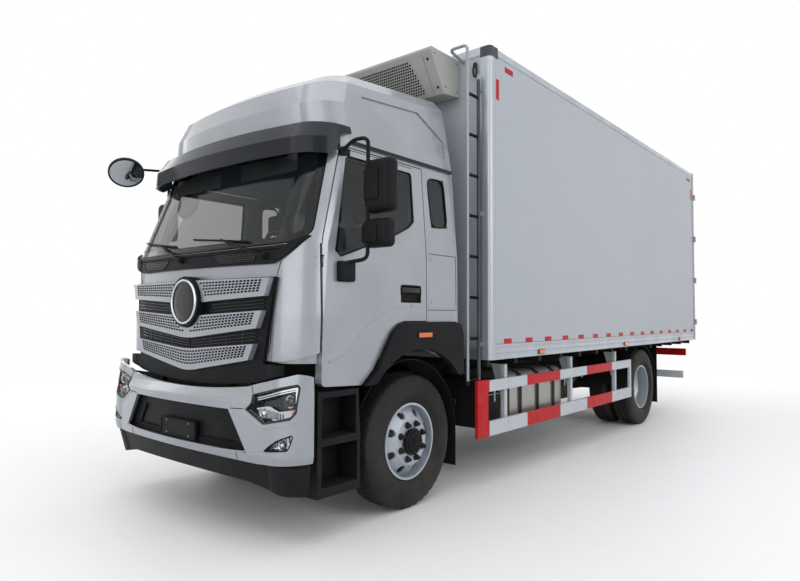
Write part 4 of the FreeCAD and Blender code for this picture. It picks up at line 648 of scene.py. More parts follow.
def vee(x, half, end, middle):
    """Height of an edge that runs straight from its end to a rounded middle."""
    knee = middle + (end - middle) * (VERTEX / 2) / (half - VERTEX / 2)
    x = abs(x)
    if x < VERTEX:
        return middle + (knee - middle) * (x / VERTEX) ** 2
    return knee + (end - knee) * (x - VERTEX) / (half - VERTEX)


def in_badge(x, z, margin):
    return math.hypot(x, z - BADGE_Z) < BADGE_R + margin


def make_grille_holes():
    """Rows of slots that follow each bar between its edges, each with a fine bright lower lip."""
    with piece("grille_perforation", HOLE_DARK, "cab") as bm, piece("grille_slot_lips", WHEEL_SILVER, "cab") as lips:
        for bar in BARS:
            for row in range(HOLE_ROWS):
                share = 0.14 + 0.138 * row
                half = bar[0] + (bar[3] - bar[0]) * share - 0.078
                count = int(2 * half / HOLE_PITCH)
                for index in range(count + 1):
                    x = -half + 2 * half * index / count
                    top, low = vee(x, *bar[:3]), vee(x, *bar[3:])
                    z = top + (low - top) * share
                    spot = None if in_badge(x, z, 0.030) else front_spot("grille_bars", x, z, HOLE_LIFT)
                    if spot:
                        across, up = tangents("grille_bars", x, z, HOLE_LIFT, spot)
                        add_slot(bm, spot, across, up, 0.0143, 0.0070, 4)
                        lift = across.cross(up) * 0.0002
                        add_slot(lips, spot + lift - up * 0.0072, across, up, 0.0115, 0.0010, 2)


def make_grille_slats():
    """Fine dark slats in the gaps between the bars, and the uprights of the lower gap."""
    for gap, (upper, lower) in enumerate(zip(BARS, BARS[1:])):
        for slat in range(SLATS):
            share = (slat + 1) / (SLATS + 1)
            for name, side in SIDES:
                spots = []
                for step in range(23):
                    x = side * (0.012 + (lower[0] - 0.03) * step / 22)
                    top, low = vee(x, *upper[3:]), vee(x, *lower[:3])
                    z = top + (low - top) * share
                    if not in_badge(x, z, 0.012):
                        spots.append(front_spot("nose_trim", x, z, 0.004))
                if len([p for p in spots if p]) > 3:
                    tube("grille_slat_%d_%d_%s" % (gap, slat, name), spots, 0.0055, GLOSS_BLACK, "cab")
    with piece("grille_uprights", GLOSS_BLACK, "cab") as bm:
        for x in UPRIGHTS:
            top, low = vee(x, *BARS[1][3:]), vee(x, *BARS[2][:3])
            spot = front_spot("nose_trim", x, (top + low) / 2)
            if spot:
                add_block(bm, spot + Vector((-0.004, -0.004, (low - top) / 2 + 0.004)),
                          spot + Vector((0.004, 0.010, (top - low) / 2 - 0.004)), 0.001)


def make_badge():
    """Bare round badge: black dome in a bright ring."""
    face = front_spot("nose_trim", 0, BADGE_Z).y
    ring = [(0.005 + 0.011 * s, 0.160 + 0.010 * c) for c, s in circle(14)]
    for name, rows, material in (
        ("badge_ring", ring + ring[:1], CHROME),
        ("badge_face", [(0.0, 0.152), (0.004, 0.146), (0.008, 0.10), (0.010, 0.05), (0.011, 0.001)], GLOSS_BLACK),
        ("badge_rim", [(0.0, 0.1895), (0.004, 0.188), (0.005, 0.180), (0.003, 0.172), (0.0, 0.170)], BLACK),
    ):
        with piece(name, material, "cab", smooth=True) as bm:
            add_lathe(bm, rows, (0, 0, 0), 72)
            aim(bm, (0, -1, 0), (0, face, BADGE_Z))


def make_cowl():
    """Groove and vents of the cowl, and the shut lines of the panel below it."""
    groove = [(i * 0.095, 1.951 + 0.012 * (i / 10) ** 2) for i in range(-10, 11)]
    follow("cowl_groove", "nose_trim", groove, 0.0035, HOLE_DARK, "cab", 0.0005)
    for name, corners in (("left", [(0.265, 1.948), (0.735, 1.952), (0.700, 1.884), (0.345, 1.880)]),
                          ("right", [(-0.350, 1.940), (-0.830, 1.950), (-0.790, 1.886), (-0.440, 1.878)])):
        outline = rounded_outline(corners, 0.02)
        sheet("cowl_recess_" + name, "nose_trim", outline, 0.0015, GLOSS_BLACK, "cab")
        seal("cowl_recess_rim_" + name, "nose_trim", outline, 0.0035, BLACK, "cab", 0.002, 0.05)
        with piece("cowl_mesh_" + name, HOLE_DARK, "cab") as bm:
            top_in, top_out, low_out, low_in = (Vector(corner) for corner in corners)
            for row in range(4):
                share = (row + 0.8) / 4.6
                ends = top_in.lerp(low_in, share), top_out.lerp(low_out, share)
                slot_row(bm, "nose_trim", between(*ends, 15)[1:-1], 0.0024, 0.0105, 0.0040, 3)
    for name, side in SIDES:
        seam = between((side * 0.941, 1.886), (side * 0.905, 1.778), 6)
        follow("panel_seam_" + name, "cab_shell", seam, 0.0028, HOLE_DARK, "cab", 0.0002)
        edge = between((side * 0.926, 1.768), (side * 0.833, 1.183), 9)
        follow("grille_edge_" + name, "cab_shell", edge, 0.0032, HOLE_DARK, "cab", 0.0002)


def make_wipers():
    """Two wiper arms with their blades, parked low on the windscreen."""
    for name, pivot, bend, tip in (
        ("right", (-0.144, 1.933), (-0.588, 2.083), (-0.93, 2.132)),
        ("left", (0.813, 1.916), (0.320, 2.064), (-0.05, 2.090)),
    ):
        arm = []
        for step, (x, z) in enumerate(between(pivot, bend, 6)):
            spot = front_spot("nose_trim", x, z) or front_spot("cab_glass", x, z) or front_spot("cab_shell", x, z)
            arm.append(spot + Vector((0, -0.034 + 0.006 * step / 5, 0)))
        tube("wiper_arm_" + name, arm, 0.0085, BLACK, "cab")
        heel = (bend[0] + 0.30, bend[1] - 0.035)
        blade = [spot + Vector((0, -0.014, 0))
                 for spot in (front_spot("cab_glass", x, z) for x, z in between(heel, tip, 5)) if spot]
        tube("wiper_blade_" + name, blade, 0.007, RUBBER, "cab")
        tube("wiper_spring_" + name, [p + Vector((0, -0.010, 0.004)) for p in blade], 0.004, BLACK, "cab")
        base = front_spot("nose_trim", *pivot) or front_spot("cab_shell", *pivot)
        with piece("wiper_pivot_" + name, BLACK, "cab", smooth=True) as bm:
            add_prism(bm, base + Vector((0, 0.006, 0)), (0, -1, 0.12), 0.026, 0.036, 24, taper=0.86)
            add_prism(bm, base + Vector((0, -0.028, 0.004)), (0, -1, 0.12), 0.013, 0.010, 6)


# ---------------------------------------------------------------- glazing borders and seals
# Outlines seen from the front are (x, z), and those seen from a side are (station, z).
WINDSCREEN = [(-1.104, 2.092), (-1.092, 2.046), (-1.050, 2.028), (-1.000, 1.998), (-0.5, 1.986), (0.0, 1.982),
              (0.5, 1.986), (1.000, 1.998), (1.050, 2.028), (1.092, 2.046), (1.104, 2.092), (1.034, 2.722),
              (0.5, 2.737), (0.0, 2.742), (-0.5, 2.737), (-1.034, 2.722)]
DOOR_WINDOW = [(0.503, 1.962), (0.560, 1.918), (1.141, 2.120), (1.330, 2.205), (1.399, 2.262), (1.399, 2.640),
               (1.380, 2.660), (0.680, 2.660), (0.648, 2.636)]
QUARTER_WINDOW = [(1.625, 2.240), (1.855, 2.258), (1.838, 2.672), (1.598, 2.660)]
QUARTER_PARTS = 7


def make_glazing():
    """Printed borders and rubber seals of the windows, and the rounded corners of the quarter windows."""
    band("windscreen_border", "cab_glass", shrunk(rounded_outline(WINDSCREEN, 0.03), 0.004), 0.050, front_spot, "cab")
    seal("windscreen_seal", "cab_glass", shrunk(WINDSCREEN, 0.006), 0.007, BLACK, "cab", 0.003)
    for name, side in SIDES:
        spot = seen_from(side)
        glass, door = "door_window_" + name, "cab_door_" + name
        band("door_window_border_" + name, glass, shrunk(rounded_outline(DOOR_WINDOW, 0.05), 0.003), 0.026, spot, door)
        seal("door_window_seal_" + name, glass, shrunk(DOOR_WINDOW, 0.005), 0.0065, BLACK, door, 0.004, spot=spot)
        soft = rounded_outline(QUARTER_WINDOW, 0.085, QUARTER_PARTS)
        band("quarter_window_border_" + name, "cab_glass", shrunk(soft, 0.003), 0.022, spot, "cab")
        seal("quarter_window_seal_" + name, "cab_glass", shrunk(soft, 0.004), 0.0065, BLACK, "cab", 0.008, spot=spot)
        with piece("quarter_window_corners_" + name, SILVER, "cab", "silver_paint") as bm:
            for index, corner in enumerate(shrunk(QUARTER_WINDOW, 0.001)):
                arc = soft[index * (QUARTER_PARTS + 1):(index + 1) * (QUARTER_PARTS + 1)]
                fan = [spot("cab_glass", y, z, 0.006) for y, z in [corner] + arc]
                if None not in fan:
                    tip, *rim = [bm.verts.new(p) for p in fan]
                    for first, second in zip(rim, rim[1:]):
                        bm.faces.new((tip, first, second))


# ---------------------------------------------------------------- lamps and bumper
HEADLAMP = [(0.814, 0.990), (1.172, 1.074), (1.188, 1.058), (1.182, 0.892), (1.152, 0.848), (0.950, 0.804),
            (0.930, 0.808), (0.776, 0.890), (0.830, 0.934)]
FOGLAMP = [(0.954, 0.640), (1.068, 0.716), (1.160, 0.756), (1.168, 0.744), (1.154, 0.684), (1.140, 0.652),
           (0.966, 0.632)]
# Sheets inside the covers: name, outline, material, depth behind the cover.
LAMP_SHEETS = [
    ("headlamp_bezel", shrunk(HEADLAMP, 0.004), GLOSS_BLACK, 0.058),
    ("headlamp_strip", [(0.846, 0.972), (1.160, 1.052), (1.166, 1.030), (0.856, 0.950)], LAMP_BRIGHT, 0.018),
    ("headlamp_strip_line", [(0.850, 0.962), (1.150, 1.038), (1.151, 1.033), (0.852, 0.957)], GLOSS_BLACK, 0.016),
    ("headlamp_tail", [(1.152, 1.046), (1.168, 1.048), (1.176, 0.930), (1.162, 0.915)], LAMP_BRIGHT, 0.020),
    ("headlamp_reflector", [(0.838, 0.898), (0.930, 0.916), (0.968, 0.916), (1.050, 0.892), (1.150, 0.908),
                            (1.162, 0.880), (1.138, 0.858), (1.060, 0.838), (0.950, 0.820), (0.936, 0.822),
                            (0.852, 0.884)], CHROME, 0.036),
    ("headlamp_inner_strip", [(0.792, 0.890), (0.806, 0.892), (0.932, 0.822), (0.926, 0.816)], LAMP_BRIGHT, 0.016),
    ("foglamp_bowl", shrunk(FOGLAMP, 0.005), CHROME, 0.034),
]
# Lenses: names of the lens and its ring, place, radius, depth behind the cover, the lens's material.
LENSES = [
    ("headlamp_projector", "headlamp_projector_ring", (1.112, 0.958), 0.029, 0.050, LENS_DARK),
    ("headlamp_dip_lens", "headlamp_dip_ring", (0.905, 0.868), 0.023, 0.034, LAMP_BRIGHT),
    ("foglamp_lens", "foglamp_ring", (1.085, 0.684), 0.021, 0.026, LAMP_BRIGHT),
]
LAMP_SURROUND = [(0.746, 0.884), (0.850, 0.828), (0.925, 0.786), (0.960, 0.778), (1.060, 0.800), (1.150, 0.822),
                 (1.196, 0.862)]
BUMPER_CREASE = [(-0.766, 0.893), (-0.680, 0.916), (-0.620, 0.944), (-0.300, 0.936), (0.0, 0.935), (0.300, 0.938),
                 (0.620, 0.946), (0.680, 0.916), (0.766, 0.893)]
LIP_CREASE = [(-1.229, 0.657), (-1.000, 0.638), (-0.726, 0.611), (-0.360, 0.600), (0.0, 0.597), (0.360, 0.600),
              (0.726, 0.611), (1.000, 0.638), (1.229, 0.657)]
BUMPER_SEAMS = [("bumper_seam_", (0.640, 0.887), (0.766, 0.893), 6, 0.0026),
                ("bumper_top_seam_", (0.820, 0.996), (0.800, 1.046), 5, 0.0022),
                ("lip_seam_", (0.705, 0.606), (0.705, 0.552), 4, 0.0022)]
PLATE = (-0.232, 0.232, 0.619, 0.743)


def flipped(outline, side):
    return [(x * side, z) for x, z in outline]


def make_lens(name, ring_name, side, place, radius, deep, material):
    """A projector: a domed lens in a stepped bezel ring, facing forward."""
    spot = front_spot("headlamps", side * place[0], place[1]) + Vector((0, deep, 0))
    dome = [(-0.004, radius), (0.004, radius * 0.86), (0.010, radius * 0.55), (0.012, 0.0008)]
    ring = [(0.0, radius * 1.45), (0.006, radius * 1.40), (0.004, radius * 1.18), (-0.004, radius * 1.05)]
    for label, rows, finish in ((name, dome, material), (ring_name, ring, CHROME)):
        with piece(label, finish, smooth=True) as bm:
            add_lathe(bm, rows, (0, 0, 0), 36)
            aim(bm, (0, -1, 0), spot)


def make_lamps():
    """What shows through the clear lamp covers: dark bezels, bright reflectors, projectors, light strip."""
    for name, side in SIDES:
        for label, outline, material, depth in LAMP_SHEETS:
            sheet("%s_%s" % (label, name), "headlamps", flipped(outline, side), 0.0, material, "chassis", depth)
        for label, ring_label, place, radius, deep, material in LENSES:
            make_lens("%s_%s" % (label, name), "%s_%s" % (ring_label, name), side, place, radius, deep, material)
        with piece("headlamp_facets_" + name, LAMP_BRIGHT) as bm:
            for step in range(11):
                spot = front_spot("headlamps", side * (0.872 + 0.021 * step), 0.868 - 0.0006 * step)
                if spot:
                    low = spot + Vector((-0.0016, 0.026, -0.030 + 0.0012 * step))
                    add_block(bm, low, low + Vector((0.0032, 0.010, 0.062 - 0.0024 * step)), 0.001)
        with piece("foglamp_fins_" + name, LAMP_BRIGHT) as bm:
            for step in range(7):
                spot = front_spot("headlamps", side * (1.010 + 0.020 * step), 0.672 + 0.008 * step)
                if spot:
                    low = spot + Vector((-0.002, 0.020, -0.018))
                    add_block(bm, low, low + Vector((0.004, 0.012, 0.040)), 0.0012)
        with piece("headlamp_amber_" + name, AMBER, smooth=True) as bm:
            spot = front_spot("headlamps", side * 1.150, 0.891) + Vector((0, 0.026, 0))
            bmesh.ops.create_uvsphere(bm, u_segments=20, v_segments=12, radius=0.013, matrix=Matrix.Translation(spot))
        for label, outline, soft, inset, radius, material, step in (
            ("headlamp_seal_", HEADLAMP, 0.02, 0.008, 0.0075, GLOSS_BLACK, 0.03),
            ("foglamp_seal_", FOGLAMP, 0.015, 0.005, 0.0045, BLACK, 0.02),
        ):
            edge = shrunk(rounded_outline(flipped(outline, side), soft), inset)
            seal(label + name, "headlamps", edge, radius, material, "chassis", 0.004, step)


def frame_bars(bm, outline, wide, y0, y1, bevel):
    """Four bars just inside a rectangle (x0, x1, z0, z1), between two depths."""
    x0, x1, z0, z1 = outline
    bars = ((x0, x1, z1 - wide, z1), (x0, x1, z0, z0 + wide), (x0, x0 + wide, z0, z1), (x1 - wide, x1, z0, z1))
    for left, right, low, high in bars:
        add_block(bm, (left, y0, low), (right, y1, high), bevel)


def make_bumper_details():
    """Creases and shut lines of the bumper, the bare plate carrier with its screws, and the intake's mesh."""
    creases = [("bumper_crease", BUMPER_CREASE, 4, 0.0045, -0.0020), ("lip_crease", LIP_CREASE, 4, 0.0045, -0.0020)]
    creases += [("lamp_surround_" + name, flipped(LAMP_SURROUND, side), 5, 0.0060, -0.0025) for name, side in SIDES]
    for name, path, count, radius, lift in creases:
        follow(name, "front_bumper", smooth_path(path, count), radius, SILVER, "chassis", lift)
    for name, side in SIDES:
        for label, start, end, count, radius in BUMPER_SEAMS:
            seam = flipped(between(start, end, count), side)
            follow(label + name, "front_bumper", seam, radius, HOLE_DARK, "chassis", 0.0002)
    face = front_spot("bumper_trim", 0, 0.640).y
    with piece("plate_frame", BLACK) as bm:
        frame_bars(bm, PLATE, 0.009, face - 0.005, face + 0.001, 0.0015)
    with piece("plate_screws", STEEL, smooth=True) as bm:
        for x in (-0.150, 0.150):
            for z in (0.636, 0.726):
                add_prism(bm, (x, face + 0.002, z), (0, -1, 0), 0.0085, 0.006, 16, taper=0.8)
                add_prism(bm, (x, face - 0.003, z), (0, -1, 0), 0.004, 0.0025, 6)
    with piece("intake_mesh", HOLE_DARK) as bm:
        for row in range(3):
            places = [(-0.70 + 0.040 * index + 0.020 * (row % 2), 0.628 + 0.014 * row) for index in range(36)]
            slot_row(bm, "bumper_trim", [p for p in places if abs(p[0]) > 0.27], 0.0008, 0.013, 0.0045, 3)


# ---------------------------------------------------------------- cab sides, doors and mirrors
ARCH_CREASE = [(0.459, 1.197), (0.560, 1.232), (0.660, 1.296), (0.760, 1.392), (0.925, 1.498), (1.060, 1.555),
               (1.180, 1.577), (1.500, 1.581)]
HANDLE_BOWL = rectangle(1.210, 1.459, 1.616, 1.748)
# Lines along the cab's sides: name, node, path, radius, material, lift.
SIDE_LINES = [
    ("service_low_seam", "cab_shell", between((1.552, 1.560), (1.940, 1.560), 9), 0.0024, HOLE_DARK, 0.0002),
    ("service_rear_seam", "cab_shell", between((1.951, 1.560), (1.951, 2.020), 9), 0.0024, HOLE_DARK, 0.0002),
    ("service_top_seam", "cab_shell", between((1.951, 2.020), (1.560, 2.020), 9), 0.0024, HOLE_DARK, 0.0002),
    ("door_frame_line", None, smooth_path([(0.640, 2.700), (0.90, 2.705), (1.40, 2.700)], 5), 0.0025, BLACK, 0.0002),
    ("door_seal_front", None, smooth_path([(0.400, 1.10), (0.400, 1.50), (0.400, 1.96)], 5), 0.0028, BLACK, -0.004),
    ("door_seal_rear", None, smooth_path([(1.526, 1.50), (1.526, 2.10), (1.526, 2.69)], 5), 0.0028, BLACK, -0.004),
]
ARCH_CENTRE = (1.415, 0.560)
FLARE_SCREW_R = 0.712


def crease(name, node, path, side, body, width=0.030, height=0.0028):
    """A low pressed crease: a three-sided strip along a path of (station, z) on a side."""
    hits = [on_node(node, at(side * 3.0, station, z), (-side, 0, 0)) for station, z in path]
    hits = [hit for hit in hits if hit[0]]
    with piece(name, SILVER, body, "silver_paint", smooth=True) as bm:
        rows = []
        for index, (spot, normal) in enumerate(hits):
            ahead = hits[min(index + 1, len(hits) - 1)][0] - hits[max(index - 1, 0)][0]
            across = normal.cross(ahead).normalized() * width * side
            rows.append([bm.verts.new(p) for p in (spot + across, spot + normal * height, spot - across * 0.35)])
        for first, second in zip(rows, rows[1:]):
            for index in range(2):
                bm.faces.new((first[index], first[index + 1], second[index + 1], second[index]))


def make_door_handle(name, side, door, x):
    """The grab handle's bowl and paddle; x is the floor of the door's pocket."""
    outline = rounded_outline(HANDLE_BOWL, 0.03)
    with piece("handle_bowl_" + name, BLACK, door, smooth=True) as bm:
        rings = [[at(x + side * depth, y, z) for y, z in points] for depth, points in (
            (0.022, outline), (0.027, shrunk(outline, -0.006)), (0.027, shrunk(outline, 0.004)),
            (0.006, shrunk(outline, 0.012)), (0.003, shrunk(outline, 0.030)))]
        bm.faces.new(skin(bm, rings)[-1])
    paddle = (x + side * 0.012, x + side * 0.030, 1.222, 1.446, 1.690, 1.736)
    blocks("handle_paddle_" + name, GLOSS_BLACK, [paddle], 0.009, door, smooth=True, segments=3)


def make_door_details():
    """Pressed creases, handle, lock barrel, seals, panel seams and screws, and the arch's marker of both cab sides."""
    for name, side in SIDES:
        door = "cab_door_" + name
        spot = seen_from(side)
        way = (side, 0, 0)
        crease("door_crease_" + name, door, smooth_path(ARCH_CREASE, 5), side, door)
        crease("side_crease_" + name, "cab_shell", between((1.552, 1.582), (1.955, 1.586), 6), side, "cab")
        make_door_handle(name, side, door, spot(door, 1.33, 1.68).x)
        with piece("door_lock_" + name, STEEL, door, smooth=True) as bm:
            barrel = spot(door, 1.335, 1.590)
            add_prism(bm, barrel, way, 0.014, 0.003, 24, taper=0.9)
            add_prism(bm, barrel + Vector(way) * 0.003, way, 0.009, 0.002, 24, taper=0.9)
        for label, node, path, radius, material, lift in SIDE_LINES:
            body = "cab" if node else door
            follow("%s_%s" % (label, name), node or door, path, radius, material, body, lift, spot)
        screws = [spot("cab_shell", station, z) for station, z in rectangle(1.60, 1.93, 1.62, 1.98)]
        studs("panel_screws_" + name, STEEL, screws, way, 0.008, 0.003, 16, 0.8, "cab", smooth=True)
        x = spot("cab_flares", 1.46, 1.360).x
        base = (x - side * 0.004, x + side * 0.008, 1.366, 1.553, 1.336, 1.385)
        blocks("flare_marker_base_" + name, BLACK, [base], 0.004, "cab")
        with piece("flare_marker_" + name, AMBER, "cab", smooth=True) as bm:
            add_block(bm, at(x, 1.374, 1.342), at(x + side * 0.013, 1.545, 1.379), 0.005, 3)
            for rib in range(8):
                low = at(x + side * 0.012, 1.386 + 0.021 * rib, 1.345)
                add_block(bm, low, low + Vector((side * 0.0025, 0.006, 0.031)), 0.001)
        screws = [spot("cab_flares", ARCH_CENTRE[0] + FLARE_SCREW_R * math.cos(math.radians(angle)),
                       ARCH_CENTRE[1] + FLARE_SCREW_R * math.sin(math.radians(angle))) for angle in range(24, 171, 16)]
        studs("flare_screws_" + name, BLACK, screws, way, 0.009, 0.003, 12, 0.8, "cab", smooth=True)


# Mirror heads: low and high z, low and high x, and how far the cover on the back stops short of them.
MIRROR_HEADS = ((2.225, 2.600, 1.270, 1.515, 0.085, 0.075), (1.985, 2.185, 1.255, 1.495, 0.030, 0.045))
# Rings of a head from its face to its back: inset, station, corner radius.
MIRROR_RINGS = [(0.018, 0.738, 0.030), (0.014, 0.747, 0.034), (0.004, 0.7495, 0.042), (0.000, 0.742, 0.045),
                (0.000, 0.706, 0.045), (0.006, 0.680, 0.045), (0.018, 0.664, 0.045), (0.036, 0.657, 0.040),
                (0.070, 0.655, 0.030)]
MIRROR_FACE = 0.7385
MIRROR_TUBE = [(1.096, 0.640, 2.694), (1.200, 0.640, 2.752), (1.312, 0.668, 2.752), (1.312, 0.668, 1.905),
               (1.176, 0.604, 1.882)]
MIRROR_FEET = (((1.140, 0.522, 1.747), (1.205, 0.670, 1.890), 0.020),
               ((1.076, 0.602, 2.650), (1.112, 0.700, 2.712), 0.014))
KERB_MIRROR = (-1.200, 0.190, 2.780)
KERB_MIRROR_WAY = (0.62, -0.30, -0.72)


def bent_path(points, radius, parts=6):
    """A path along straight runs with its corners rounded."""
    spots = [Vector(p) for p in points]
    path = spots[:1]
    for before, here, after in zip(spots, spots[1:], spots[2:]):
        path += corner_arc(before, here, after, radius, parts)
    return path + spots[-1:]


def make_mirrors():
    """Moulded mirror heads on their bent tube, with covers, feet and glasses, and the kerb mirror's glass."""
    for name, side in SIDES:
        body = "cab_door_" + name
        path = [at(side * x, station, z) for x, station, z in bent_path(MIRROR_TUBE, 0.050)]
        stem = tube("mirror_tube_" + name, path, 0.014, BLACK, body, smooth=False)
        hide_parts("mirrors_" + name)
        with piece("mirror_feet_" + name, BLACK, body, "black_plastic", smooth=True) as bm:
            for low, high, soft in MIRROR_FEET:
                add_block(bm, at(side * low[0], *low[1:]), at(side * high[0], *high[1:]), soft, 4)
        for index, (z0, z1, x0, x1, under, over) in enumerate(MIRROR_HEADS):
            def ring(inset, station, radius):
                outline = rectangle(x0 + inset, x1 - inset, z0 + inset, z1 - inset)
                return [at(side * x, station, z) for x, z in rounded_outline(outline, radius, 6)]

            label = "%d_%s" % (index, name)
            with piece("mirror_head_" + label, BLACK, body, "black_plastic", smooth=True) as bm:
                skin(bm, [ring(*row) for row in MIRROR_RINGS], caps=True)
            cover = (side * (x0 + 0.018), side * (x0 + 0.150), 0.642, 0.672, z0 + under, z1 - over)
            blocks("mirror_cover_" + label, BLACK, [cover], 0.012, body, smooth=True, segments=4)
            with piece("mirror_glass_" + label, MIRROR, body, smooth=True) as bm:
                face = ring(0.020, MIRROR_FACE, 0.028)
                middle = at(side * (x0 + x1) / 2, MIRROR_FACE, (z0 + z1) / 2)
                skin(bm, [[middle + (p - middle) * scale + Vector((0, lift, 0)) for p in face] for scale, lift in
                          ((1.0, -0.002), (0.99, 0.0), (0.6, 0.0018), (0.2, 0.0024))], caps=True)
    for name, rows, material in (
        ("round_mirror_glass", [(0.0005, 0.136), (0.006, 0.10), (0.010, 0.05), (0.011, 0.001)], MIRROR),
        ("round_mirror_rim", [(-0.004, 0.151), (0.005, 0.150), (0.007, 0.143), (0.002, 0.136)], BLACK),
    ):
        with piece(name, material, "cab", smooth=True) as bm:
            add_lathe(bm, rows, (0, 0, 0), 48)
            aim(bm, Vector(KERB_MIRROR_WAY).normalized(), at(*KERB_MIRROR))


# ---------------------------------------------------------------- insulated box
HALF = 1.300
WALL_X = 1.297
RIVET_ROWS = [1.30 + 0.115 * index for index in range(22)]
# Red reflectors of a side: low and high station, low and high z.
SIDE_REDS = [(2.530 + 0.409 * k, 2.670 + 0.409 * k, 1.259, 1.304) for k in range(16)]
SIDE_REDS += [(2.400, 2.452, 3.500, 3.690), (2.560, 2.710, 3.800, 3.850), (8.560, 8.740, 3.800, 3.850),
              (8.775, 8.825, 3.500, 3.690)]
SEALED_JOINTS = [(2.380, 2.385, 1.257, 3.902), (8.858, 8.863, 1.257, 3.902), (2.380, 8.860, 1.2565, 1.2605),
                 (2.380, 8.860, 3.899, 3.903)]
SIDE_MARKERS = (3.270, 5.634, 8.067)
BOX_FRONT = 2.300
DOOR_HINGES = (1.420, 2.130, 2.840, 3.560)
LOCK_GUIDES = (1.288, 1.900, 2.600, 3.200, 3.804)


def add_rivets(bm, spots, way):
    """Flat-headed rivets."""
    for spot in spots:
        add_prism(bm, spot, way, 0.0055, 0.0026, 7, taper=0.55)


def make_box_side(name, side):
    """Reflectors, marker lamps, rivets and sealed panel joints of one side of the box."""
    def rows(low, high, places):
        """Rows for blocks that stand between two distances from the middle."""
        return [(side * low, side * high, *place) for place in places]

    blocks("box_reflectors_" + name, REFLECTIVE_RED, rows(WALL_X - 0.001, WALL_X + 0.0022, SIDE_REDS), 0.0008)
    bases = rows(HALF - 0.006, HALF + 0.004, [(y - 0.068, y + 0.068, 1.128, 1.182) for y in SIDE_MARKERS])
    blocks("side_marker_bases_" + name, BLACK, bases, 0.004)
    lenses = rows(HALF, HALF + 0.0095, [(y - 0.058, y + 0.058, 1.134, 1.176) for y in SIDE_MARKERS])
    blocks("side_markers_" + name, AMBER, lenses, 0.006, smooth=True, segments=3)
    blocks("box_sealant_" + name, CORNER, rows(WALL_X - 0.002, WALL_X + 0.0014, SEALED_JOINTS), 0.0006)
    with piece("box_rivets_" + name, ALUMINIUM) as bm:
        spots = []
        for index, (y,) in enumerate(between((2.44,), (8.84,), 64)):
            spots.append(at(side * HALF, y, 3.925))
            if index % 2 == 0:
                spots += [at(side * (HALF - 0.005), y, z) for z in (1.156, 1.212)]
        spots += [at(side * HALF, y, z) for z in RIVET_ROWS for y in (2.352, 8.885)]
        add_rivets(bm, spots, (side, 0, 0))
        add_rivets(bm, [at(side * 1.215, BOX_FRONT, z) for z in RIVET_ROWS], (0, -1, 0))


def make_box_details():
    """Both sides of the box, and the joints, rivets and lashing rings of its front."""
    for name, side in SIDES:
        make_box_side(name, side)
    joints = [(x - 0.006, x + 0.006, 2.3045, 2.3075, 1.22, 3.54) for x in (-0.60, 0.60)]
    blocks("front_panel_joints", BOX_WHITE, joints, 0.001, slot="box_white")
    with piece("front_rivets", ALUMINIUM) as bm:
        across = between((-1.14,), (1.14,), 36)
        add_rivets(bm, [at(x, BOX_FRONT, z) for x, in across for z in (1.165, 3.945)], (0, -1, 0))
    with piece("lashing_plates", STEEL, smooth=True) as plates, piece("lashing_eyes", CAST) as eyes:
        for name, side in SIDES:
            centre = at(side * 1.140, BOX_FRONT, 3.832)
            add_prism(plates, centre, (0, -1, 0), 0.024, 0.006, 20)
            ring = [centre + Vector((0.019 * c, -0.013, -0.062 + 0.056 * s)) for c, s in circle(20)]
            tube("lashing_ring_" + name, ring, 0.0085, CAST, closed=True)
            add_block(eyes, centre + Vector((-0.012, -0.022, -0.016)), centre + Vector((0.012, 0.0, 0.010)), 0.003)


REAR = 8.950
LAMP_FACE = 8.872
LEAF = (0.008, 1.190, 1.230, 3.868)
REAR_LAMPS = ((0.705, 0.860, AMBER, "turn"), (0.866, 1.040, LAMP_RED, "tail"), (1.046, 1.155, LAMP_BRIGHT, "back"))


def make_rear_door(name, side):
    """Gasket, hinge bolts, lock guide bolts, panel lines and reflectors of one rear door."""
    body = "box_door_" + name
    outline = rounded_outline(flipped(rectangle(*LEAF), side), 0.02)
    tube("door_gasket_" + name, [at(x, REAR + 0.001, z) for x, z in walk(outline, 0.3)], 0.009, RUBBER, body,
         closed=True, smooth=False)
    hinges = [at(side * x, REAR + 0.014, z + dz)
              for z in DOOR_HINGES for x in (1.124, 1.089, 1.056) for dz in (-0.018, 0.018)]
    studs("door_hinge_bolts_" + name, STEEL, hinges, (0, 1, 0), 0.0085, 0.006, 6, body=body)
    guides = [at(side * x, REAR + 0.012, z) for x in (0.136, 0.204, 0.726, 0.794) for z in LOCK_GUIDES]
    studs("lock_guide_bolts_" + name, STEEL, guides, (0, 1, 0), 0.0065, 0.005, 6, body=body)
    lines = [(side * 0.22, side * 0.71, REAR - 0.001, REAR + 0.0012, z - 0.0015, z + 0.0015)
             for z, in between(LEAF[2:3], LEAF[3:], 7)[1:-1]]
    blocks("door_panel_lines_" + name, CORNER, lines, 0.0005, body)
    reds = [(side * x, side * (x + 0.13), REAR - 0.001, REAR + 0.002, 1.300, 1.346) for x in (0.24, 0.39, 0.54)]
    blocks("rear_door_reflectors_" + name, REFLECTIVE_RED, reds, 0.0006, body)


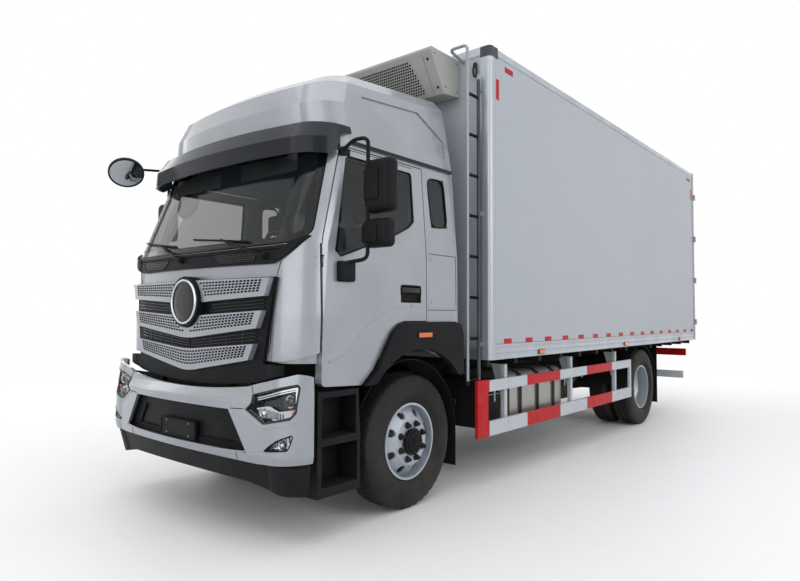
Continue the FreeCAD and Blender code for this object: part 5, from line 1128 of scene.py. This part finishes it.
def make_rear_details():
    """Rear doors, lamp lenses with ribs, dock buffers, underrun reflectors and the bare plate holder."""
    for name, side in SIDES:
        make_rear_door(name, side)
        for x0, x1, material, label in REAR_LAMPS:
            with piece("rear_lamp_%s_%s" % (label, name), material, smooth=True) as bm:
                add_block(bm, at(side * x0, LAMP_FACE - 0.004, 0.856), at(side * x1, LAMP_FACE + 0.006, 0.956),
                          0.006, 3)
                for row in range(6):
                    z = 0.866 + 0.016 * row
                    add_block(bm, at(side * (x0 + 0.008), LAMP_FACE + 0.005, z),
                              at(side * (x1 - 0.008), LAMP_FACE + 0.0075, z + 0.005), 0.001)
        buffer = (side * 0.52, side * 0.62, 8.829, 8.880, 0.70, 0.84)
        blocks("dock_buffer_" + name, RUBBER, [buffer], 0.012, smooth=True, segments=3)
        reds = [(side * x, side * (x + 0.16), 8.7595, 8.7625, 0.506, 0.554) for x in (0.20, 0.44, 0.68, 0.92)]
        blocks("underrun_reflectors_" + name, REFLECTIVE_RED, reds, 0.001)
    with piece("rear_plate_holder", BLACK) as bm:
        add_block(bm, at(-0.22, 8.829, 0.850), at(0.22, 8.834, 0.958), 0.003)
        frame_bars(bm, (-0.224, 0.224, 0.846, 0.962), 0.010, START + 8.829, START + 8.840, 0.002)


# ---------------------------------------------------------------- cooling unit and ladder
INLET_LOW = at(0, 2.056, 3.532)
INLET_HIGH = at(0, 1.846, 3.880)
INLET_HALF = 0.785
INLET_TAPER = 0.075
INLET_ROWS, INLET_COLUMNS = 13, 54
HOSE = [(0.30, 2.20, 3.560), (0.30, 2.21, 3.50), (0.31, 2.262, 3.42), (0.31, 2.266, 2.80), (0.31, 2.266, 1.90),
        (0.31, 2.264, 1.35)]


def make_cooling_details():
    """Perforated sheet over the raked inlet, cover seams and fixings of the cooling unit, and its hoses."""
    length = (INLET_HIGH - INLET_LOW).length
    way = (INLET_HIGH - INLET_LOW).normalized()
    out = Vector((0, -way.z, way.y))
    across = Vector((1, 0, 0))
    low, high = INLET_LOW + way * 0.028, INLET_HIGH - way * 0.040
    rise = (high - low).length
    top = INLET_HALF - INLET_TAPER
    corners = [low - across * INLET_HALF, low + across * INLET_HALF, high + across * top, high - across * top]
    with piece("inlet_sheet", CREAM, slot="unit_cream") as bm:
        skin(bm, [[p + out * lift for p in corners] for lift in (0.0025, 0.0005)], caps=True)
    with piece("inlet_perforation", HOLE_DARK) as bm:
        for row in range(INLET_ROWS):
            share = row / (INLET_ROWS - 1)
            reach = INLET_HALF - 0.022 - INLET_TAPER * share
            for column in range(INLET_COLUMNS):
                x = -reach + 2 * reach * (column + 0.5 * (row % 2)) / (INLET_COLUMNS - 0.5)
                spot = low + way * (0.020 + (rise - 0.040) * share) + across * x + out * 0.0032
                add_slot(bm, spot, across, way, 0.0112, 0.0090, 3)
    with piece("unit_fixings", CAST, smooth=True) as bm:
        for side in (1, -1):
            for x, share in ((0.899, 0.81), (0.918, 0.17)):
                spot = INLET_LOW + across * side * x + way * (length * share) + out * 0.0005
                add_prism(bm, spot, out, 0.013, 0.003, 18, taper=0.9)
                add_prism(bm, spot + out * 0.003, out, 0.007, 0.003, 6)
            for station, z in ((1.905, 3.86), (2.26, 3.86), (2.26, 3.60), (2.08, 3.60)):
                add_prism(bm, at(side * 0.960, station, z), (side, 0, 0), 0.007, 0.003, 12, taper=0.8)
    with piece("unit_seams", HOLE_DARK) as bm:
        for x in (-0.855, 0.855):
            start, end = (INLET_LOW + across * x + way * rise_to + out * 0.0006 for rise_to in (0.015, length - 0.03))
            wide = across * 0.0015
            bm.faces.new([bm.verts.new(p) for p in (start - wide, start + wide, end + wide, end - wide)])
    for name, side in SIDES:
        tube("coolant_hose_" + name, [at(side * x, station, z) for x, station, z in HOSE], 0.017, RUBBER)
        clips = [(side * 0.31 - 0.032, side * 0.31 + 0.032, 2.246, 2.3065, z - 0.012, z + 0.012)
                 for z in (3.30, 2.80, 2.30, 1.80, 1.40)]
        blocks("hose_clips_" + name, CAST, clips, 0.003)


LADDER_X = 1.200
LADDER_NEAR, LADDER_FAR = 2.075, 2.255


def make_ladder_details():
    """Rung grips, a dark tube that paints the shade on the far rail, feet and the bolts of the brackets."""
    with piece("rung_grips", BLACK, smooth=True) as bm:
        for rung in range(8):
            z = 0.950 + 0.363 * rung
            add_prism(bm, at(LADDER_X, LADDER_NEAR + 0.016, z), (0, 1, 0), 0.0128, LADDER_FAR - LADDER_NEAR - 0.032, 14)
            for y, in between((LADDER_NEAR + 0.021,), (LADDER_FAR - 0.027,), 11):
                add_prism(bm, at(LADDER_X, y, z), (0, 1, 0), 0.0142, 0.005, 14)
    # Painted shade: a dark tube over the far rail, which lies in shade against the corner post.
    tube("ladder_far_rail_painted_shade", [at(LADDER_X, LADDER_FAR, 0.960 + 0.30 * k) for k in range(10)], 0.0162, CORNER)
    with piece("ladder_bolts", STEEL) as bm:
        for z in (1.240, 2.420, 3.560):
            for dz in (0.012, 0.028):
                for way in (1, -1):
                    add_prism(bm, at(LADDER_X + way * 0.012, LADDER_FAR + 0.030, z + dz), (way, 0, 0), 0.006, 0.004, 6)
    for label, station in (("near", LADDER_NEAR), ("far", LADDER_FAR)):
        foot = at(LADDER_X, station, 0.912)
        studs("ladder_foot_" + label, RUBBER, [foot], (0, 0, 1), 0.0165, 0.035, 18, 0.95, smooth=True)


# ---------------------------------------------------------------- chassis fittings
FRAME_X = 0.430
# Axles at a spring: station, top and bottom of the clamp, half width of the spring.
SPRING_CLAMPS = ((1.390, 0.606, 0.416, 0.044), (6.470, 0.736, 0.535, 0.046))
# Hatches of the chassis boxes: side, face, low and high station, height of the latches.
LATCHES = ((-1, 1.080, 2.52, 3.03, 0.74), (1, 1.080, 2.46, 2.78, 0.74), (1, 1.060, 4.20, 4.46, 0.76))
AIR_TANKS = ((-1, 4.30, 5.20), (1, 4.64, 5.40))
AIR_TANK_X = 0.640


def loop_strap(bm, outline, middle, half, thick):
    """A strap round a tank: the outline drawn out along Y about a station, with a thickness."""
    outer = shrunk(outline, -thick)
    rings = [[at(x, station, z) for x, z in points] for station, points in (
        (middle - half, outline), (middle - half, outer), (middle + half, outer), (middle + half, outline))]
    skin(bm, rings, loop=True)


def make_tank_details():
    """Straps, seams and cap of the fuel tank, and straps and drains of the air tanks."""
    with piece("tank_straps", BLACK) as bm:
        for station in (3.080, 3.445, 3.810):
            loop_strap(bm, rounded_outline(rectangle(0.553, 1.157, 0.393, 0.967), 0.112, 6), station, 0.033, 0.0025)
            add_prism(bm, at(1.1595, station, 0.930), (1, 0, 0), 0.010, 0.008, 6)
    with piece("tank_seams", TANK, slot="tank_aluminium") as bm:
        for station in (2.885, 4.005):
            loop_strap(bm, rounded_outline(rectangle(0.560, 1.150, 0.400, 0.960), 0.108, 6), station, 0.004, 0.0018)
    with piece("tank_cap", BLACK, smooth=True) as bm:
        rows = [(0.0, 0.050), (0.010, 0.052), (0.016, 0.048), (0.018, 0.030), (0.024, 0.028), (0.026, 0.001)]
        add_lathe(bm, rows, (0, 0, 0), 40, 1, lambda row, step: 0.0014 if row in (0, 1) and step % 4 < 2 else 0.0)
        aim(bm, (0, 0, 1), at(1.000, 2.960, 1.000))
    with piece("air_tank_straps", STEEL) as bm:
        for side, y0, y1 in AIR_TANKS:
            ring = [(side * AIR_TANK_X + u, 0.740 + v) for u, v in circle(28, 0.1225)]
            for share in (0.18, 0.82):
                loop_strap(bm, ring, y0 + (y1 - y0) * share, 0.014, 0.002)
            add_prism(bm, at(side * AIR_TANK_X, (y0 + y1) / 2, 0.622), (0, 0, -1), 0.012, 0.028, 6)


def make_step_tread(name, side):
    """Raised slots that cross on the treads of both steps."""
    with piece("step_treads_" + name, STEEL) as bm:
        for z, depth0, depth1 in ((0.366, 0.975, 1.155), (0.690, 1.010, 1.155)):
            for row in range(6):
                for column in range(11):
                    turn = 1 if (row + column) % 2 else -1
                    along = Vector((turn * 0.7, 0.7, 0)).normalized()
                    spot = at(side * (depth0 + (depth1 - depth0) * (row + 0.5) / 6), 0.405 + 0.030 * column, z + 0.0012)
                    add_slot(bm, spot, along, Vector((-along.y, along.x, 0)), 0.010, 0.0028, 2)


def make_chassis_side(name, side):
    """Frame bolts, air lines with clips, spring clamps, step treads, flap ribs and guard bolts of one side."""
    way = (side, 0, 0)
    bolts = [on_node("frame_rails", at(side * 0.6, 0.52 + 0.21 * k, z), (-side, 0, 0))[0]
             for k in range(38) for z in (0.775, 0.925)]
    on_web = [spot for spot in bolts if spot and abs(spot.x - side * FRAME_X) < 0.002]
    studs("frame_bolts_" + name, CAST, on_web, way, 0.010, 0.008, 6)
    for index, z in enumerate((0.842, 0.862, 0.882)):
        line = [at(side * 0.443, 0.62 + 0.5 * k, z + 0.004 * math.sin(k * 1.7 + index)) for k in range(16)]
        tube("air_line_%d_%s" % (index, name), line, 0.0065, RUBBER)
    clips = [(side * FRAME_X, side * 0.455, 1.0 + 0.8 * k, 1.018 + 0.8 * k, 0.828, 0.896) for k in range(9)]
    blocks("line_clips_" + name, BLACK, clips, 0.003)
    with piece("spring_u_bolts_" + name, CAST, smooth=True) as bm:
        for station, top, bottom, half in SPRING_CLAMPS:
            for dy in (-0.052, 0.052):
                for dx in (-half - 0.006, half + 0.006):
                    x = side * FRAME_X + dx
                    add_prism(bm, at(x, station + dy, bottom), (0, 0, 1), 0.009, top - bottom + 0.03, 12)
                    add_prism(bm, at(x, station + dy, top + 0.002), (0, 0, 1), 0.016, 0.016, 6)
    make_step_tread(name, side)
    ribs = [(side * 0.64, side * 1.175, 7.177, 7.183, z, z + 0.012) for z in (0.26, 0.40, 0.54, 0.68, 0.82)]
    blocks("flap_ribs_" + name, BLACK, ribs, 0.002)
    bolts = [at(side * 1.250, station, z) for station in (2.690, 4.140, 5.466) for z in (0.470, 0.530, 0.858, 0.906)]
    studs("guard_bolts_" + name, GUARD, bolts, way, 0.009, 0.005, 6, slot="guard_paint")


def make_chassis_fittings():
    """Tanks, both sides of the frame, and the latches of the chassis boxes."""
    make_tank_details()
    for name, side in SIDES:
        make_chassis_side(name, side)
    with piece("box_latches", STEEL) as bm:
        for side, x, y0, y1, z in LATCHES:
            add_block(bm, at(side * x, y0, z + 0.02), at(side * (x + 0.010), y1, z + 0.030), 0.003)
            low, high = (x, x + 0.016) if side > 0 else (-x - 0.010, -x)
            for station in (y0 + 0.08, y1 - 0.08):
                add_block(bm, at(low, station - 0.015, z - 0.05), at(high, station + 0.015, z + 0.06), 0.004)


# ---------------------------------------------------------------- cab interior
def add_pillow(bm, middle, half, thin, crown, pinch, channels):
    """A crowned cushion: rounded box whose sides pull in between its corners, with sewn channels on its face."""
    wide = [a for a in range(3) if a != thin]
    made = bmesh.ops.create_cube(bm, size=2.0)["verts"]
    edges = list({edge for vert in made for edge in vert.link_edges})
    bmesh.ops.subdivide_edges(bm, edges=edges, cuts=14, use_grid_fill=True)
    power = 5.0
    for vert in bm.verts:
        p = vert.co / sum(abs(c) ** power for c in vert.co) ** (1 / power)
        u, v, w = p[wide[0]], p[wide[1]], p[thin]
        full = (1 - u ** 4) * (1 - v ** 4)
        grooves = sum(math.exp(-(((v if axis else u) - where) / 0.035) ** 2) for axis, where in channels)
        p[thin] = w * (1 - crown + crown * full) - math.copysign(0.075 * min(1.0, grooves) * full, w)
        p[wide[0]] = u * (1 - pinch * (1 - v * v))
        p[wide[1]] = v * (1 - pinch * (1 - u * u))
        vert.co = middle + half * p


def cushion(name, low, high, thin, channels, crown=0.20, pinch=0.03):
    """One upholstered pad with its piping."""
    middle, half = (low + high) / 2, (high - low) / 2
    bm = bmesh.new()
    add_pillow(bm, middle, half, thin, crown, pinch, channels)
    pad = add(name, bm, FABRIC, "cab", smooth=True)
    wide = [a for a in range(3) if a != thin]
    points = []
    for c, s in circle(48):
        size = (abs(c) ** 7 + abs(s) ** 7) ** (1 / 7)
        u, v = c / size, s / size
        spot = Vector((0.56, 0.56, 0.56))
        spot[wide[0]] = u * 0.985 * (1 - pinch * (1 - v * v))
        spot[wide[1]] = v * 0.985 * (1 - pinch * (1 - u * u))
        points.append(middle + half * spot)
    tube(name + "_piping", points, 0.0042, PIPING, "cab", closed=True)
    return pad


BELT = [(0.22, 1.52, 2.30), (0.16, 1.376, 2.22), (0.02, 1.368, 2.00), (-0.17, 1.360, 1.74), (-0.252, 1.30, 1.60)]


def make_seats():
    """Seats and bunk as upholstered cushions on their bases; they stand for the plain CAD seats."""
    for name, x in (("driver", 0.560), ("passenger", -0.620)):
        cushion("seat_cushion_" + name, at(x - 0.250, 0.862, 1.561), at(x + 0.250, 1.369, 1.689), 2,
                             ((0, -0.52), (0, 0.52), (1, -0.30), (1, 0.30)))
        cushion("seat_back_" + name, at(x - 0.240, 1.381, 1.641), at(x + 0.240, 1.499, 2.289), 1,
                ((0, -0.52), (0, 0.52), (1, -0.45), (1, 0.05), (1, 0.50)))
        cushion("headrest_" + name, at(x - 0.130, 1.396, 2.311), at(x + 0.130, 1.494, 2.499), 1, ((1, 0.0),), 0.28)
        posts = [at(x + dx, 1.445, 2.27) for dx in (-0.055, 0.055)]
        studs("headrest_posts_" + name, STEEL, posts, (0, 0, 1), 0.007, 0.07, 12, body="cab", smooth=True)
        with piece("seat_base_" + name, BLACK, "cab", "interior_dark", smooth=True) as bm:
            for half, y0, y1, z0, z1, soft in ((0.188, 0.932, 1.328, 1.321, 1.380, 0.012),
                                               (0.165, 0.955, 1.305, 1.375, 1.520, 0.030),
                                               (0.190, 0.932, 1.328, 1.515, 1.562, 0.012)):
                add_block(bm, at(x - half, y0, z0), at(x + half, y1, z1), soft, 3)
            for fold in range(5):
                z = 1.392 + 0.026 * fold
                add_block(bm, at(x - 0.172, 0.948, z), at(x + 0.172, 1.312, z + 0.010), 0.005)
        tube("seat_belt_" + name, [at(x + dx, station, z) for dx, station, z in BELT], 0.008, BLACK, "cab")
    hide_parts("seats")
    cushion("bunk_mattress", at(-1.038, 1.577, 1.641), at(1.038, 1.918, 1.759), 2,
            [(0, 0.33 * k) for k in range(-2, 3)], 0.16, 0.012)
    with piece("bunk_base", INTERIOR, "cab", "interior_dark", smooth=True) as bm:
        add_block(bm, at(-1.029, 1.586, 1.321), at(1.029, 1.924, 1.639), 0.015, 3)
        for x in (-0.95, -0.45, 0.05, 0.55):
            add_block(bm, at(x, 1.580, 1.36), at(x + 0.40, 1.590, 1.60), 0.006)


STEER_CENTRE = at(0.560, 0.640, 2.030)
GRAB_RAIL = [(1.040, 0.46, 2.02), (1.005, 0.47, 2.08), (0.985, 0.52, 2.30), (0.985, 0.58, 2.48), (1.010, 0.61, 2.56)]


def make_cab_inside():
    """Dashboard vents, bare dials, steering wheel grips, armrests, grab rails and sun blinds."""
    with piece("dash_vents", HOLE_DARK, "cab") as bm:
        for x in (-0.92, -0.30, 0.18, 0.92):
            spot = on_node("dashboard", at(x, 1.4, 1.780), (0, -1, 0))[0]
            for row in range(5 if spot else 0):
                low = spot + Vector((-0.062, -0.003, -0.026 + 0.013 * row))
                add_block(bm, low, low + Vector((0.124, 0.008, 0.004)), 0.001)
    with piece("dash_dials", GLOSS_BLACK, "cab", smooth=True) as bm:
        for x in (0.47, 0.65):
            spot = on_node("dashboard", at(x, 1.4, 1.915), (0, -1, 0))[0]
            if spot:
                add_prism(bm, spot, (0, 1, 0), 0.052, 0.004, 32, taper=0.96)
                add_prism(bm, spot + Vector((0, 0.004, 0)), (0, 1, 0), 0.006, 0.004, 12)
    lean = Matrix.Rotation(math.radians(-28), 3, "X")
    ring = [STEER_CENTRE + lean @ Vector((u, v, 0.0)) for u, v in circle(40, 0.205)]
    for label, start, stop in (("left", 34, 47), ("right", 13, 27)):
        tube("wheel_grip_" + label, [ring[k % 40] for k in range(start, stop)], 0.0175, RUBBER, "cab")
    with piece("wheel_boss", GLOSS_BLACK, "cab", smooth=True) as bm:
        add_prism(bm, STEER_CENTRE, lean @ Vector((0, 0, 1)), 0.058, 0.010, 40, taper=0.85)
    for name, side in SIDES:
        with piece("door_armrest_" + name, INTERIOR, "cab_door_" + name, "interior_dark", smooth=True) as bm:
            add_block(bm, at(side * 1.052, 0.62, 1.62), at(side * 1.088, 1.42, 1.69), 0.012, 3)
            add_block(bm, at(side * 1.052, 0.70, 1.30), at(side * 1.088, 1.05, 1.42), 0.014, 3)
        rail = [at(side * x, station, z) for x, station, z in GRAB_RAIL]
        tube("grab_rail_" + name, rail, 0.012, INTERIOR, "cab")
        blind = (side * 0.14, side * 0.80, 0.462, 0.476, 2.560, 2.690)
        blocks("sun_blind_" + name, INTERIOR, [blind], 0.006, "cab", "interior_dark", True, 3)


make_all_wheels()
make_grille_holes()
make_grille_slats()
make_badge()
make_cowl()
make_wipers()
make_glazing()
make_lamps()
make_bumper_details()
make_door_details()
make_mirrors()
make_box_details()
make_rear_details()
make_cooling_details()
make_ladder_details()
make_chassis_fittings()
make_seats()
make_cab_inside()

# ---------------------------------------------------------------- stage, light and camera
FLOOR_REACH = 60.0
FLOOR_FADE = (5.0, 11.5)
SKY_STOPS = ((0.42, (0.16, 0.16, 0.17)), (0.75, (0.95, 0.97, 1.0)))
WHITE = {"Color": (1, 1, 1), "Strength": 1.0}
CAMERA_PLACE = (4.205, -6.948, 1.518)
CAMERA_TILT = 92.28
CAMERA_TURN = 39.85
CAMERA_ROLL = 0.21
CAMERA_LENS = 27.77
# Lamps: name, place, target, width and height, power.
LAMPS = (
    ("overhead", (1.0, -3.0, 10.0), (0, -1.0, 1.5), (12, 12), 400),
    ("rear_fill", (-2.0, 13.0, 4.5), (0, 4.0, 1.8), (10, 6), 300),
    ("far_fill", (-11.0, -1.0, 4.5), (0, 0, 1.5), (10, 6), 260),
    ("side_fill", (10.0, -1.0, 4.5), (0, 0, 1.5), (8, 5), 260),
    ("front_fill", (1.5, -13.0, 4.0), (0.0, -4.0, 1.5), (12, 7), 330),
)


def backdrop():
    """Pale floor under the wheels that fades to white for the camera far out."""
    graph = Graph(bpy.data.materials.new("floor_pale"))
    vector = graph.place()
    tint = graph.mixed(graph.noise(vector, 6.0), (0.84, 0.84, 0.84), (0.80, 0.80, 0.80))
    material = graph.finish({"Base Color": tint, "Roughness": 0.6})
    distance = graph.node("VectorMath", {0: vector}, operation="LENGTH").outputs["Value"]
    fade = graph.joined("MULTIPLY", graph.ramp(distance, 0.0, 1.0, *FLOOR_FADE), graph.seen_rays())
    white = graph.node("Emission", WHITE).outputs["Emission"]
    graph.blend_out(fade, graph.nodes["Principled BSDF"].outputs["BSDF"], white, "Material Output")
    mesh = bpy.data.meshes.new("floor")
    corners = rectangle(-FLOOR_REACH, FLOOR_REACH, -FLOOR_REACH, FLOOR_REACH)
    mesh.from_pydata([(x, y, 0) for x, y in corners], [], [(0, 1, 2, 3)])
    floor = bpy.data.objects.new("floor", mesh)
    bpy.context.collection.objects.link(floor)
    set_material(floor, material)


def sky():
    """White to the camera, a soft pale gradient in reflections and as fill light."""
    world = bpy.data.worlds.new("studio")
    bpy.context.scene.world = world
    graph = Graph(world)
    height = graph.ramp(graph.along("Z", "Generated"), 0.0, 1.0, -1.0, 1.0)
    light = graph.nodes["Background"]
    graph.feed(light, {"Color": graph.bands(height, SKY_STOPS), "Strength": 0.75})
    white = graph.node("Background", WHITE).outputs["Background"]
    graph.blend_out(graph.seen_rays(), light.outputs["Background"], white, "World Output")


def lights():
    """Large soft lamps all round."""
    for name, location, target, size, power in LAMPS:
        data = bpy.data.lights.new(name, "AREA")
        data.shape = "RECTANGLE"
        data.size, data.size_y = size
        data.energy = power
        lamp = bpy.data.objects.new(name, data)
        bpy.context.collection.objects.link(lamp)
        lamp.location = location
        lamp.rotation_euler = (Vector(target) - Vector(location)).to_track_quat("-Z", "Y").to_euler()


def camera():
    """Eye-level view of the front and left side, as a person beside the truck sees it."""
    data = bpy.data.cameras.new("camera")
    data.lens = CAMERA_LENS
    data.sensor_width = 36.0
    data.clip_end = 200.0
    view = bpy.data.objects.new("camera", data)
    bpy.context.collection.objects.link(view)
    turn = Euler((math.radians(CAMERA_TILT), 0, math.radians(CAMERA_TURN))).to_matrix()
    roll = Matrix.Rotation(math.radians(CAMERA_ROLL), 3, "Z")
    view.matrix_world = Matrix.Translation(CAMERA_PLACE) @ (turn @ roll).to_4x4()
    bpy.context.scene.camera = view


backdrop()
sky()
lights()
camera()
bpy.context.scene.view_settings.view_transform = "Standard"
